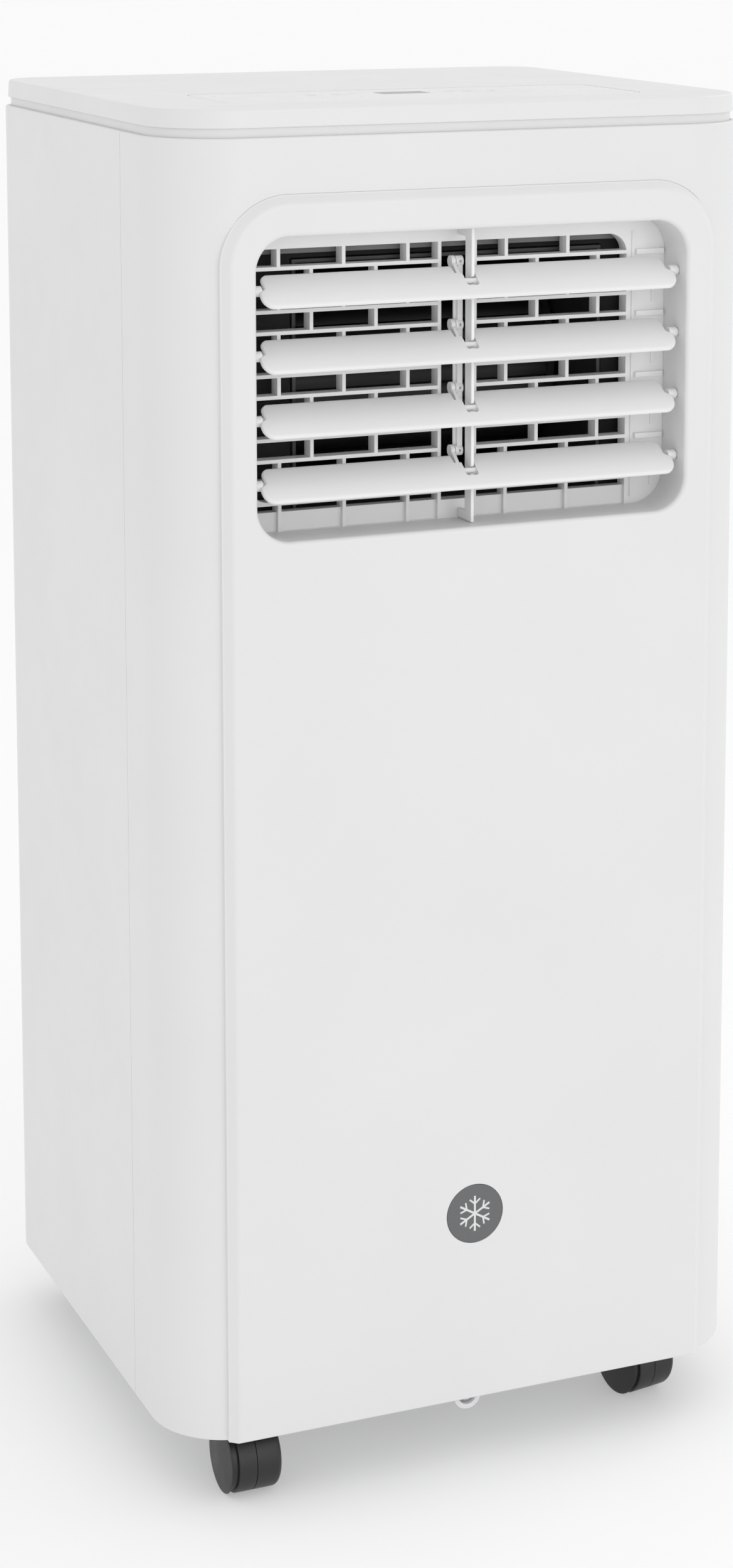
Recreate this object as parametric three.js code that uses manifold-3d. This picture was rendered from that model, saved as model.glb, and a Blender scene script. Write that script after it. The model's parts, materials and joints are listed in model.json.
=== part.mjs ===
// Portable air conditioner: a tall white cabinet on four twin-wheel casters, with a four-blade
// louvre over a brick-pattern outlet grille, and the refrigeration parts that it holds inside.
// Millimetres, +Z up, front towards -Y, origin on the floor under the middle of the cabinet.

import * as THREE from 'three';
import * as BufferGeometryUtils from 'three/addons/utils/BufferGeometryUtils.js';
import Module from 'manifold-3d';

const wasm = await Module();
wasm.setup();

// ---------------------------------------------------------------- driving dimensions

const GAP = 0.3;

const cabinet = {
  width: 319,
  depth: 287,
  bottom: 35,
  top: 686.3,
  wall: 2.6,
  frontRadius: 40,
  rearRadius: 23,
  seam: 67,
};
const frontY = -cabinet.depth / 2;
const rearY = cabinet.depth / 2;
const sideX = cabinet.width / 2;
const seamY = frontY + cabinet.seam;
const innerRearY = rearY - cabinet.wall;

const PROUD = 4;
const panelFaceY = frontY - PROUD;
const rearFaceY = rearY + PROUD;

const panel = { halfWidth: 126.7, top: 653.3, cornerRadius: 29, edge: 6.3 };

const lid = { bottom: 690.8, top: 700, inset: 1.4, neckBottom: 679, wall: 3 };
const neckInset = cabinet.wall + GAP;
const overlay = { halfWidth: 111, front: -107, back: -31, radius: 10, thickness: 0.65, pocket: 1 };
const displayBoard = { halfWidth: 90, margin: 9, thickness: 1.6, spaceHalfWidth: 100, spaceMargin: 5 };
const screen = { x: -2.8, y: -57.5, width: 26, depth: 15, radius: 1.5 };

const opening = { halfWidth: 115, bottom: 491.5, top: 639, radius: 17, wall: 2.4 };
const openingZ = (opening.bottom + opening.top) / 2;

const grille = {
  front: -122,
  flange: 3,
  ribDepth: 8,
  halfWidth: 121,
  bottom: 487,
  top: 643.5,
  left: -111.5,
  right: 94.5,
  firstRow: 495,
  rowPitch: 10.5,
  rows: 13,
  rib: 1.8,
  latticeRadius: 10,
  ribOffset: 9.6,
  ribPitch: 34,
};

const blade = {
  count: 4,
  pitch: 31.5,
  axisY: -137,
  halfLength: 111,
  front: 12,
  rear: 10.5,
  thickness: 2.2,
  crown: 1.5,
  tilt: THREE.MathUtils.degToRad(35),
  frontCorner: 8,
  rearCorner: 4,
  endPin: 2.6,
  endPinReach: 116.8,
  pinClearance: 0.4,
  centrePin: 1.6,
  notch: 3.3,
  notchFront: 5,
};
const bladeAxes = Array.from(
  { length: blade.count },
  (_, index) => openingZ + (blade.pitch * (blade.count - 1)) / 2 - blade.pitch * index,
);

const arm = {
  left: -6.4,
  right: -4.3,
  reach: 13.3,
  rise: THREE.MathUtils.degToRad(41),
  boss: 2.8,
  pin: 1.1,
};
const rod = { left: -3.9, right: 0, width: 3, eye: 2.7, bore: 1.5 };
const bar = { left: 0.4, right: 2.1, notch: 2.1 };

const badge = { radius: 15.4, thickness: 0.9, z: 135 };

const pan = { bottom: 42, floor: 3, wall: 2.4, rim: 80, clearance: 0.4, socket: 8.5, socketTop: 60 };

const caster = {
  x: 117,
  frontY: -114.3,
  rearY: 106,
  trail: 10.8,
  radius: 18,
  wheelInner: 2,
  wheelOuter: 14,
  web: 1.5,
  hub: 14.2,
  grooveDepth: 1.4,
  grooveWidth: 1.4,
  dome: 1.4,
  shoulder: 1.2,
  hoodInner: 18.6,
  hoodOuter: 19.6,
  hoodHalfWidth: 14.3,
  hoodStart: THREE.MathUtils.degToRad(62),
  hoodEnd: THREE.MathUtils.degToRad(195),
  floorClearance: 1.2,
  stem: 4,
  stemTop: 57,
  stemClearance: 0.4,
  collar: 6.5,
  collarBottom: 36.1,
  axle: 2,
  axleInset: 4.5,
  boreInset: 3.5,
  frontRightTurn: THREE.MathUtils.degToRad(10),
};

const lug = { radius: 7.5, z: 33, front: -139, back: -131, hole: 2.3, seat: 5, seatDepth: 2.5 };
const lugScrewSize = { head: 4.4, headFront: 0.4, headBack: 2.1, shank: 1.9, reach: 3, slot: 2.6 };

const intake = {
  halfWidth: 115,
  plate: 6,
  clearance: 0.4,
  cornerRadius: 4,
  columns: 3,
  border: 10,
  mullion: 4,
  slotPitch: 14,
  slotHeight: 8.5,
};
const filter = {
  thickness: 4,
  inset: 3,
  heightInset: 4,
  frame: 4,
  cellHeight: 70,
  sheetBack: 1.6,
  sheet: 0.8,
};
const upperIntake = { bottom: 425, top: 655 };
const lowerIntake = { bottom: 85, top: 225 };

const exhaust = { z: 315, inner: 62, outer: 65, flange: 76, flangeThickness: 2.2, depth: 26, clearance: 0.8 };

const drains = [
  { name: 'upper_drain_cap', x: 104, z: 402 },
  { name: 'base_drain_cap', x: 60, z: 60 },
];
const drain = { radius: 9.5, grip: 8, flange: 2, clearance: 0.4 };
const gland = { x: -118, z: 62, outer: 9, boss: 6, flange: 1.5, bore: 4 };

const deck = {
  z: 392,
  thickness: 3,
  front: -112,
  back: 132,
  halfWidth: 150,
  rim: 8,
  hole: 6,
  holeX: -120,
  holesY: [-60, -40],
};

// ---------------------------------------------------------------- solids from three.js shapes

function solid(geometry) {
  const bare = geometry.index ? geometry.toNonIndexed() : geometry.clone();
  bare.deleteAttribute('normal');
  bare.deleteAttribute('uv');
  const merged = BufferGeometryUtils.mergeVertices(bare, 1e-4);
  return new wasm.Manifold(
    new wasm.Mesh({
      numProp: 3,
      vertProperties: Float32Array.from(merged.attributes.position.array),
      triVerts: Uint32Array.from(merged.index.array),
    }),
  );
}

function geometryOf(manifold) {
  const mesh = manifold.getMesh();
  const geometry = new THREE.BufferGeometry();
  geometry.setAttribute('position', new THREE.BufferAttribute(Float32Array.from(mesh.vertProperties), 3));
  geometry.setIndex(new THREE.BufferAttribute(Uint32Array.from(mesh.triVerts), 1));
  geometry.computeVertexNormals();
  return geometry;
}

function join(...solids) {
  return solids.reduce((sum, next) => sum.add(next));
}

function cut(from, ...tools) {
  return tools.reduce((left, tool) => left.subtract(tool), from);
}

function box(x0, x1, y0, y1, z0, z1) {
  const geometry = new THREE.BoxGeometry(x1 - x0, y1 - y0, z1 - z0);
  geometry.translate((x0 + x1) / 2, (y0 + y1) / 2, (z0 + z1) / 2);
  return solid(geometry);
}

// A rounded rectangle; the first radius is for the two low corners, the second for the two high ones.
function roundedRect(u0, u1, v0, v1, lowRadius, highRadius = lowRadius) {
  const shape = new THREE.Shape();
  shape.moveTo(u0 + lowRadius, v0);
  shape.lineTo(u1 - lowRadius, v0);
  if (lowRadius > 0) shape.absarc(u1 - lowRadius, v0 + lowRadius, lowRadius, -Math.PI / 2, 0);
  shape.lineTo(u1, v1 - highRadius);
  if (highRadius > 0) shape.absarc(u1 - highRadius, v1 - highRadius, highRadius, 0, Math.PI / 2);
  shape.lineTo(u0 + highRadius, v1);
  if (highRadius > 0) shape.absarc(u0 + highRadius, v1 - highRadius, highRadius, Math.PI / 2, Math.PI);
  shape.lineTo(u0, v0 + lowRadius);
  if (lowRadius > 0) shape.absarc(u0 + lowRadius, v0 + lowRadius, lowRadius, Math.PI, 1.5 * Math.PI);
  return shape;
}

const CURVE_SEGMENTS = 3;

function extruded(shape, depth, extra = {}) {
  return new THREE.ExtrudeGeometry(shape, {
    depth,
    bevelEnabled: false,
    curveSegments: CURVE_SEGMENTS,
    ...extra,
  });
}

// A shape drawn in X and Y, extruded up.
function prismZ(shape, z0, z1) {
  return solid(extruded(shape, z1 - z0).translate(0, 0, z0));
}

// A shape drawn in X and Z, extruded along Y.
function prismY(shape, y0, y1, extra) {
  const geometry = extruded(shape, y1 - y0, extra);
  geometry.rotateX(Math.PI / 2);
  geometry.translate(0, y1, 0);
  return solid(geometry);
}

// A shape drawn in Y and Z, extruded along X.
const yzToX = new THREE.Matrix4().makeBasis(
  new THREE.Vector3(0, 1, 0),
  new THREE.Vector3(0, 0, 1),
  new THREE.Vector3(1, 0, 0),
);

function prismX(shape, x0, x1, extra) {
  return solid(extruded(shape, x1 - x0, extra).applyMatrix4(yzToX).translate(x0, 0, 0));
}

function cylinderZ(x, y, z0, z1, radius, sides = 14) {
  const geometry = new THREE.CylinderGeometry(radius, radius, z1 - z0, sides);
  geometry.rotateX(Math.PI / 2);
  geometry.translate(x, y, (z0 + z1) / 2);
  return solid(geometry);
}

function cylinderY(x, z, y0, y1, radius, sides = 16) {
  const geometry = new THREE.CylinderGeometry(radius, radius, y1 - y0, sides);
  geometry.translate(x, (y0 + y1) / 2, z);
  return solid(geometry);
}

function cylinderX(y, z, x0, x1, radius, sides = 10) {
  const geometry = new THREE.CylinderGeometry(radius, radius, x1 - x0, sides);
  geometry.rotateZ(Math.PI / 2);
  geometry.translate((x0 + x1) / 2, y, z);
  return solid(geometry);
}

// A profile of [radius, height] points turned about the local Y axis.
function lathe(points, sides = 16) {
  return new THREE.LatheGeometry(
    points.map(([radius, height]) => new THREE.Vector2(radius, height)),
    sides,
  );
}

const LEAST_CORNER_RADIUS = 1;

// The cabinet's plan outline, drawn inset from its outer face.
function cabinetOutline(inset) {
  return roundedRect(
    -sideX + inset,
    sideX - inset,
    frontY + inset,
    rearY - inset,
    Math.max(cabinet.frontRadius - inset, LEAST_CORNER_RADIUS),
    Math.max(cabinet.rearRadius - inset, LEAST_CORNER_RADIUS),
  );
}

// ---------------------------------------------------------------- materials

function material(color, roughness, metalness = 0) {
  return new THREE.MeshStandardMaterial({ color, roughness, metalness });
}

const whitePlastic = () => material(0xe9e9ea, 0.45);
const greyPlastic = () => material(0x9da0a3, 0.6);
const blackPlastic = () => material(0x2b2b2c, 0.5);
const smokyWindow = () => material(0xbcbec0, 0.15);
const badgeGrey = () => material(0x57585a, 0.35);
const rubber = () => material(0x232323, 0.85);
const steel = () => material(0xb9bcc0, 0.35, 0.9);
const paintedBlack = () => material(0x1c1d1f, 0.4, 0.2);
const copper = () => material(0xb4673a, 0.3, 0.9);
const aluminium = () => material(0xc7cacd, 0.4, 0.9);
const boardGreen = () => material(0x2f6b45, 0.6);

const object = new THREE.Group();

function add(name, manifold, look, parent = object) {
  const mesh = new THREE.Mesh(geometryOf(manifold), look);
  mesh.name = name;
  parent.add(mesh);
  return mesh;
}

// ---------------------------------------------------------------- cabinet

// The cabinet wall between the bottom and top edges, kept on one side of the side seam.
function cabinetWall(y0, y1) {
  const ring = cut(
    prismZ(cabinetOutline(0), cabinet.bottom, cabinet.top),
    prismZ(cabinetOutline(cabinet.wall), cabinet.bottom - 1, cabinet.top + 1),
  );
  return ring.intersect(box(-sideX - 1, sideX + 1, y0, y1, cabinet.bottom - 1, cabinet.top + 1));
}

// Front half: the wall, the raised panel with its rounded edge, and the recess behind the outlet
// opening, whose side walls carry the bearing holes of the louvre blades.
function frontShell() {
  const raisedShape = roundedRect(
    -panel.halfWidth,
    panel.halfWidth,
    cabinet.bottom - 2 * panel.edge,
    panel.top,
    0,
    panel.cornerRadius,
  );
  const raised = prismY(raisedShape, frontY, frontY + 1, {
    bevelEnabled: true,
    bevelThickness: PROUD,
    bevelSize: panel.edge,
    bevelSegments: 2,
  }).intersect(
    box(-sideX, sideX, panelFaceY, frontY + cabinet.wall / 2, cabinet.bottom, panel.top + 2 * panel.edge),
  );
  const recessOuter = roundedRect(
    -opening.halfWidth - opening.wall,
    opening.halfWidth + opening.wall,
    opening.bottom - opening.wall,
    opening.top + opening.wall,
    opening.radius + opening.wall,
  );
  const recessInner = roundedRect(
    -opening.halfWidth,
    opening.halfWidth,
    opening.bottom,
    opening.top,
    opening.radius,
  );
  const bearingInner = opening.halfWidth - 1;
  const bearingOuter = opening.halfWidth + opening.wall + 1;
  const bearings = bladeAxes.flatMap((z) => [
    cylinderX(blade.axisY, z, -bearingOuter, -bearingInner, blade.endPin + blade.pinClearance),
    cylinderX(blade.axisY, z, bearingInner, bearingOuter, blade.endPin + blade.pinClearance),
  ]);
  return cut(
    join(
      cabinetWall(frontY - 1, seamY - GAP / 2),
      raised,
      prismY(recessOuter, frontY - 1, grille.front - GAP),
    ),
    prismY(recessInner, panelFaceY - 1, grille.front + 1),
    ...bearings,
    cylinderY(0, badge.z, panelFaceY - 1, panelFaceY + badge.thickness + GAP, badge.radius + GAP, 24),
  );
}

// Rear half, with the two intake openings and the holes for the exhaust, drains and cord gland.
function rearShell() {
  const intakeHole = ({ bottom, top }) =>
    box(-intake.halfWidth, intake.halfWidth, rearY - 10, rearY + 1, bottom, top);
  return cut(
    cabinetWall(seamY + GAP / 2, rearY + 1),
    intakeHole(upperIntake),
    intakeHole(lowerIntake),
    cylinderY(0, exhaust.z, rearY - 10, rearY + 1, exhaust.outer + exhaust.clearance, 28),
    ...drains.map(({ x, z }) => cylinderY(x, z, rearY - 10, rearY + 1, drain.radius + drain.clearance)),
    cylinderY(gland.x, gland.z, rearY - 10, rearY + 1, gland.outer + drain.clearance),
  );
}

// Where each caster's stem stands, and how its trailing wheels are turned at rest.
const casters = [
  { name: 'caster_front_left', x: -caster.x, y: caster.frontY, turn: Math.PI },
  { name: 'caster_front_right', x: caster.x, y: caster.frontY, turn: caster.frontRightTurn },
  { name: 'caster_rear_left', x: -caster.x, y: caster.rearY, turn: 0 },
  { name: 'caster_rear_right', x: caster.x, y: caster.rearY, turn: 0 },
];

// The moulded tray under the machinery, with a bored socket for each caster stem.
function basePan() {
  const inset = cabinet.wall + pan.clearance;
  const tray = cut(
    prismZ(cabinetOutline(inset), pan.bottom, pan.rim),
    prismZ(cabinetOutline(inset + pan.wall), pan.bottom + pan.floor, pan.rim + 1),
  );
  const sockets = casters.map(({ x, y }) => cylinderZ(x, y, pan.bottom, pan.socketTop, pan.socket));
  const bores = casters.map(({ x, y }) =>
    cylinderZ(x, y, pan.bottom - 1, caster.stemTop + 1, caster.stem + caster.stemClearance),
  );
  return cut(join(tray, ...sockets), ...bores);
}

// The lid slab stands on a narrower neck, which leaves a shadow gap above the cabinet wall.
function topLid() {
  const slab = prismZ(cabinetOutline(lid.inset), lid.bottom, lid.top);
  const neck = cut(
    prismZ(cabinetOutline(neckInset), lid.neckBottom, lid.bottom + 1),
    prismZ(cabinetOutline(neckInset + lid.wall), lid.neckBottom - 1, lid.bottom + 2),
  );
  const pocket = prismZ(
    roundedRect(
      -overlay.halfWidth - GAP,
      overlay.halfWidth + GAP,
      overlay.front - GAP,
      overlay.back + GAP,
      overlay.radius + GAP,
    ),
    lid.top - overlay.pocket,
    lid.top + 1,
  );
  const boardSpace = box(
    -displayBoard.spaceHalfWidth,
    displayBoard.spaceHalfWidth,
    overlay.front + displayBoard.spaceMargin,
    overlay.back - displayBoard.spaceMargin,
    lid.bottom - 1,
    lid.top - lid.wall,
  );
  return cut(join(slab, neck), pocket, boardSpace);
}

function overlayPlate() {
  const plate = roundedRect(
    -overlay.halfWidth,
    overlay.halfWidth,
    overlay.front,
    overlay.back,
    overlay.radius,
  );
  const bottom = lid.top - overlay.pocket + GAP;
  return cut(
    prismZ(plate, bottom, bottom + overlay.thickness),
    prismZ(screenOutline(GAP), bottom - 1, bottom + overlay.thickness + 1),
  );
}

function screenOutline(grow) {
  return roundedRect(
    screen.x - screen.width / 2 - grow,
    screen.x + screen.width / 2 + grow,
    screen.y - screen.depth / 2 - grow,
    screen.y + screen.depth / 2 + grow,
    screen.radius,
  );
}

function screenPlate() {
  const bottom = lid.top - overlay.pocket + GAP;
  return prismZ(screenOutline(0), bottom, bottom + overlay.thickness);
}

// The circuit board of the keys and the display, in the space under the overlay.
function displayBoardPlate() {
  return box(
    -displayBoard.halfWidth,
    displayBoard.halfWidth,
    overlay.front + displayBoard.margin,
    overlay.back - displayBoard.margin,
    lid.bottom + 1,
    lid.bottom + 1 + displayBoard.thickness,
  );
}

add('base_pan', basePan(), greyPlastic());
add('front_shell', frontShell(), whitePlastic());
add('rear_shell', rearShell(), whitePlastic());
add('top_lid', topLid(), whitePlastic());
add('control_panel', overlayPlate(), whitePlastic());
add('display_window', screenPlate(), smokyWindow());
add('display_board', displayBoardPlate(), boardGreen());
add(
  'badge',
  cylinderY(0, badge.z, panelFaceY, panelFaceY + badge.thickness, badge.radius, 24),
  badgeGrey(),
);

// ---------------------------------------------------------------- outlet grille and louvre

// Ribs stand half a pitch apart from one row to the next, like the joints of a brick wall.
function cellEdges(row) {
  const shift = row % 2 === 0 ? 0.5 : 1;
  const right = [0, 1, 2].map((k) => grille.ribOffset + grille.ribPitch * (k + shift));
  const inside = right.filter((x) => x < grille.right);
  const left = right.map((x) => -x).reverse();
  return [grille.left, ...left, -grille.ribOffset, grille.ribOffset, ...inside, grille.right];
}

function outletGrille() {
  const plate = roundedRect(
    -grille.halfWidth,
    grille.halfWidth,
    grille.bottom,
    grille.top,
    opening.radius,
  );
  const lastRow = grille.firstRow + grille.rows * grille.rowPitch;
  const lattice = roundedRect(
    grille.left - grille.rib,
    grille.right + grille.rib,
    grille.firstRow - grille.rib,
    lastRow + grille.rib,
    grille.latticeRadius,
  );
  const cells = [];
  for (let row = 0; row < grille.rows; row += 1) {
    const z0 = grille.firstRow + row * grille.rowPitch + grille.rib / 2;
    const z1 = z0 + grille.rowPitch - grille.rib;
    const edges = cellEdges(row);
    for (let cell = 0; cell + 1 < edges.length; cell += 1) {
      const x0 = edges[cell] + grille.rib / 2;
      const x1 = edges[cell + 1] - grille.rib / 2;
      if (x1 - x0 > grille.rib && edges[cell] !== -grille.ribOffset) cells.push([x0, x1, z0, z1]);
    }
  }
  const solidPlate = join(
    prismY(plate, grille.front, grille.front + grille.flange),
    prismY(lattice, grille.front, grille.front + grille.ribDepth),
  );
  const tools = cells.map(([x0, x1, z0, z1]) =>
    box(x0, x1, grille.front - 1, grille.front + grille.ribDepth + 1, z0, z1),
  );
  const rodGap = box(
    -grille.ribOffset + grille.rib / 2,
    grille.ribOffset - grille.rib / 2,
    grille.front - 1,
    grille.front + grille.ribDepth + 1,
    grille.firstRow + grille.rib / 2,
    lastRow - grille.rib / 2,
  );
  return cut(solidPlate, ...tools, rodGap);
}

// The upright bar in front of the grille; each hook cut into its front edge holds a blade's pin.
function louvreSupport() {
  const upright = box(
    bar.left,
    bar.right,
    blade.axisY,
    grille.front - GAP,
    opening.bottom + GAP,
    opening.top - GAP,
  );
  const hooks = bladeAxes.map((z) => cylinderX(blade.axisY, z, -10, 10, bar.notch, 12));
  return cut(upright, ...hooks);
}

// A blade is drawn level about its own axis, then tilted: the front edge is at -Y.
function bladeSolid() {
  const section = new THREE.Shape();
  const half = blade.thickness / 2;
  section.moveTo(-blade.front, -half - blade.crown / 2);
  section.quadraticCurveTo(0, blade.crown - half, blade.rear, -half);
  section.lineTo(blade.rear, half);
  section.quadraticCurveTo(0, blade.crown + half + 0.6, -blade.front, half - blade.crown / 2);
  const vane = prismX(section, -blade.halfLength, blade.halfLength);
  const plan = roundedRect(
    -blade.halfLength,
    blade.halfLength,
    -blade.front,
    blade.rear,
    blade.frontCorner,
    blade.rearCorner,
  );
  const trimmed = vane.intersect(prismZ(plan, -10, 10));
  const armDirection = arm.rise - blade.tilt;
  const bossY = arm.reach * Math.cos(armDirection);
  const bossZ = arm.reach * Math.sin(armDirection);
  const armPlate = prismX(armOutline(bossY, bossZ), arm.left, arm.right);
  return join(
    cut(
      trimmed,
      box(-blade.notch, blade.notch, -blade.notchFront, blade.rear + 1, -10, 10),
      box(arm.left - 0.8, 0, 4, blade.rear + 1, -10, 10),
    ),
    cylinderX(0, 0, blade.halfLength - 6, blade.endPinReach, blade.endPin),
    cylinderX(0, 0, -blade.endPinReach, -blade.halfLength + 6, blade.endPin),
    cylinderX(0, 0, -blade.notch - 1, blade.notch + 1, blade.centrePin),
    armPlate,
    cylinderX(bossY, bossZ, arm.right - 1, rod.right, arm.pin, 8),
  );
}

// The arm's side view: a strap from the blade's axis to a round boss.
function armOutline(bossY, bossZ) {
  const along = Math.atan2(bossZ, bossY);
  const shape = new THREE.Shape();
  shape.absarc(bossY, bossZ, arm.boss, along - Math.PI / 2, along + Math.PI / 2);
  shape.absarc(0, 0, arm.boss * 0.75, along + Math.PI / 2, along + 1.5 * Math.PI);
  return shape;
}

// The rod that ties the four arms together, with a round eye for each arm's pin.
function linkRod() {
  const y = blade.axisY + arm.reach * Math.cos(arm.rise);
  const eyes = bladeAxes.map((z) => z + arm.reach * Math.sin(arm.rise));
  const upright = box(
    rod.left,
    rod.right,
    y - rod.width / 2,
    y + rod.width / 2,
    eyes[blade.count - 1],
    eyes[0],
  );
  return cut(
    join(upright, ...eyes.map((z) => cylinderX(y, z, rod.left, rod.right, rod.eye))),
    ...eyes.map((z) => cylinderX(y, z, rod.left - 1, rod.right + 1, rod.bore, 8)),
  );
}

add('outlet_grille', outletGrille(), whitePlastic());
add('louvre_support', louvreSupport(), whitePlastic());
bladeAxes.forEach((z, index) => {
  const mesh = add(`louvre_blade_${index + 1}`, bladeSolid(), whitePlastic());
  mesh.position.set(0, blade.axisY, z);
  mesh.rotation.x = blade.tilt;
});
add('louvre_link_rod', linkRod(), whitePlastic());

// ---------------------------------------------------------------- casters

// The hood over the wheels, the web between them, and the swivel stem with its collar.
function casterHousing() {
  const footprint = 2 * caster.hoodOuter;
  const hood = new THREE.Shape();
  hood.absarc(caster.trail, caster.radius, caster.hoodOuter, caster.hoodStart, caster.hoodEnd);
  hood.absarc(caster.trail, caster.radius, caster.hoodInner, caster.hoodEnd, caster.hoodStart, true);
  return cut(
    join(
      prismX(hood, -caster.hoodHalfWidth, caster.hoodHalfWidth, { curveSegments: 4 }),
      cylinderX(caster.trail, caster.radius, -caster.web, caster.web, caster.hoodInner + 0.4, 20),
      cylinderZ(0, 0, caster.collarBottom, pan.bottom - 2 * GAP, caster.collar),
      cylinderZ(0, 0, caster.collarBottom, caster.stemTop, caster.stem),
    ),
    cylinderX(caster.trail, caster.radius, -10, 10, caster.axle + GAP),
    box(-footprint, footprint, -footprint, footprint, -1, caster.floorClearance),
  );
}

// A wheel in profile: domed hub cap, groove, tread with rounded shoulders, blind axle bore.
function casterWheel(side) {
  const { radius, wheelInner, wheelOuter, hub, dome, shoulder } = caster;
  const rimFace = wheelOuter - shoulder;
  const bore = caster.axle + GAP;
  const boreEnd = wheelOuter - caster.boreInset;
  const profile = [
    [0, boreEnd],
    [bore, boreEnd],
    [bore, wheelInner],
    [radius, wheelInner],
    [radius, rimFace - shoulder],
    [radius - shoulder / 1.5, rimFace],
    [hub + caster.grooveWidth, rimFace + GAP],
    [hub + caster.grooveWidth / 2, rimFace + GAP - caster.grooveDepth],
    [hub, wheelOuter + dome / 2 - dome],
    [0, wheelOuter + dome / 2],
  ];
  const geometry = lathe(profile);
  geometry.rotateZ(-Math.PI / 2);
  if (side < 0) geometry.rotateZ(Math.PI);
  geometry.translate(0, caster.trail, radius);
  return solid(geometry);
}

casters.forEach(({ name, x, y, turn }) => {
  const swivel = new THREE.Group();
  swivel.position.set(x, y, 0);
  swivel.rotation.z = turn;
  object.add(swivel);
  const axleEnd = caster.wheelOuter - caster.axleInset;
  add(`${name}_housing`, casterHousing(), blackPlastic(), swivel);
  const axle = cylinderX(caster.trail, caster.radius, -axleEnd, axleEnd, caster.axle);
  add(`${name}_axle`, axle, steel(), swivel);
  add(`${name}_wheel_a`, casterWheel(-1), blackPlastic(), swivel);
  add(`${name}_wheel_b`, casterWheel(1), blackPlastic(), swivel);
});

// ---------------------------------------------------------------- lug under the front edge

// A tab with a round lower end, hung under the tray, with a stepped hole for its screw.
function bottomLug() {
  const shape = new THREE.Shape();
  shape.absarc(0, lug.z, lug.radius, Math.PI, 2 * Math.PI);
  shape.lineTo(lug.radius, pan.bottom - GAP);
  shape.lineTo(-lug.radius, pan.bottom - GAP);
  return cut(
    prismY(shape, lug.front, lug.back),
    cylinderY(0, lug.z, lug.front - 1, lug.front + lug.seatDepth, lug.seat),
    cylinderY(0, lug.z, lug.front - 1, lug.back + 1, lug.hole),
  );
}

function lugScrew() {
  const { head, headFront, headBack, shank, reach, slot } = lugScrewSize;
  const slotBottom = (headFront + headBack) / 2;
  const slots = [20, 110].map((turn) =>
    box(-slot, slot, lug.front - 1, lug.front + slotBottom, -slot / 5, slot / 5)
      .rotate([0, turn, 0])
      .translate([0, 0, lug.z]),
  );
  return cut(
    join(
      cylinderY(0, lug.z, lug.front + headFront, lug.front + headBack, head),
      cylinderY(0, lug.z, lug.front + slotBottom, lug.back + reach, shank, 10),
    ),
    ...slots,
  );
}

add('bottom_lug', bottomLug(), whitePlastic());
add('bottom_lug_screw', lugScrew(), steel());

// ---------------------------------------------------------------- rear fittings

// A slatted intake panel, hooked in at its bottom edge.
function intakeGrille({ bottom, top }) {
  const { clearance, border, mullion, columns, slotPitch, slotHeight } = intake;
  const plateFront = rearFaceY - intake.plate;
  const halfWidth = intake.halfWidth - clearance;
  const plate = prismY(
    roundedRect(-halfWidth, halfWidth, bottom + clearance, top - clearance, intake.cornerRadius),
    plateFront,
    rearFaceY,
  );
  const rows = Math.floor((top - bottom - 2 * border) / slotPitch);
  const columnWidth = (2 * (intake.halfWidth - border)) / columns;
  const firstSlot = (top + bottom - (rows - 1) * slotPitch) / 2;
  const slots = [];
  for (let row = 0; row < rows; row += 1) {
    const z0 = firstSlot + row * slotPitch - slotHeight / 2;
    for (let column = 0; column < columns; column += 1) {
      const x0 = -intake.halfWidth + border + column * columnWidth + mullion / 2;
      slots.push(box(x0, x0 + columnWidth - mullion, plateFront - 1, rearFaceY + 1, z0, z0 + slotHeight));
    }
  }
  return cut(plate, ...slots);
}

// The dust filter behind it: a ribbed frame holding a thin mesh sheet.
function dustFilter({ bottom, top }) {
  const back = rearFaceY - intake.plate - GAP;
  const front = back - filter.thickness;
  const half = intake.halfWidth - filter.inset;
  const z0 = bottom + filter.heightInset;
  const z1 = top - filter.heightInset;
  const rows = Math.round((z1 - z0) / filter.cellHeight);
  const cellWidth = (2 * half - filter.frame) / intake.columns;
  const cellHeight = (z1 - z0 - filter.frame) / rows;
  const windows = [];
  for (let column = 0; column < intake.columns; column += 1) {
    for (let row = 0; row < rows; row += 1) {
      const x = -half + filter.frame + column * cellWidth;
      const z = z0 + filter.frame + row * cellHeight;
      const right = x + cellWidth - filter.frame;
      windows.push(box(x, right, front - 1, back + 1, z, z + cellHeight - filter.frame));
    }
  }
  const sheetFront = front + filter.sheetBack;
  return join(
    cut(box(-half, half, front, back, z0, z1), ...windows),
    box(-half + 1, half - 1, sheetFront, sheetFront + filter.sheet, z0 + 1, z1 - 1),
  );
}

add('upper_intake_grille', intakeGrille(upperIntake), whitePlastic());
add('upper_filter', dustFilter(upperIntake), greyPlastic());
add('lower_intake_grille', intakeGrille(lowerIntake), whitePlastic());
add('lower_filter', dustFilter(lowerIntake), greyPlastic());

// The round hose collar: a short barrel with a flange against the rear wall.
function exhaustCollar() {
  const { inner, outer, flange, flangeThickness, depth } = exhaust;
  const flangeFront = -PROUD + GAP;
  const flangeBack = flangeFront + flangeThickness;
  const profile = [
    [inner, -depth],
    [outer, -depth],
    [outer, flangeFront],
    [flange, flangeFront],
    [flange, flangeBack],
    [outer, flangeBack],
    [outer, 0],
    [inner, 0],
    [inner, -depth],
  ];
  const geometry = lathe(profile, 28);
  geometry.translate(0, rearFaceY, exhaust.z);
  return solid(geometry);
}

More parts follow.
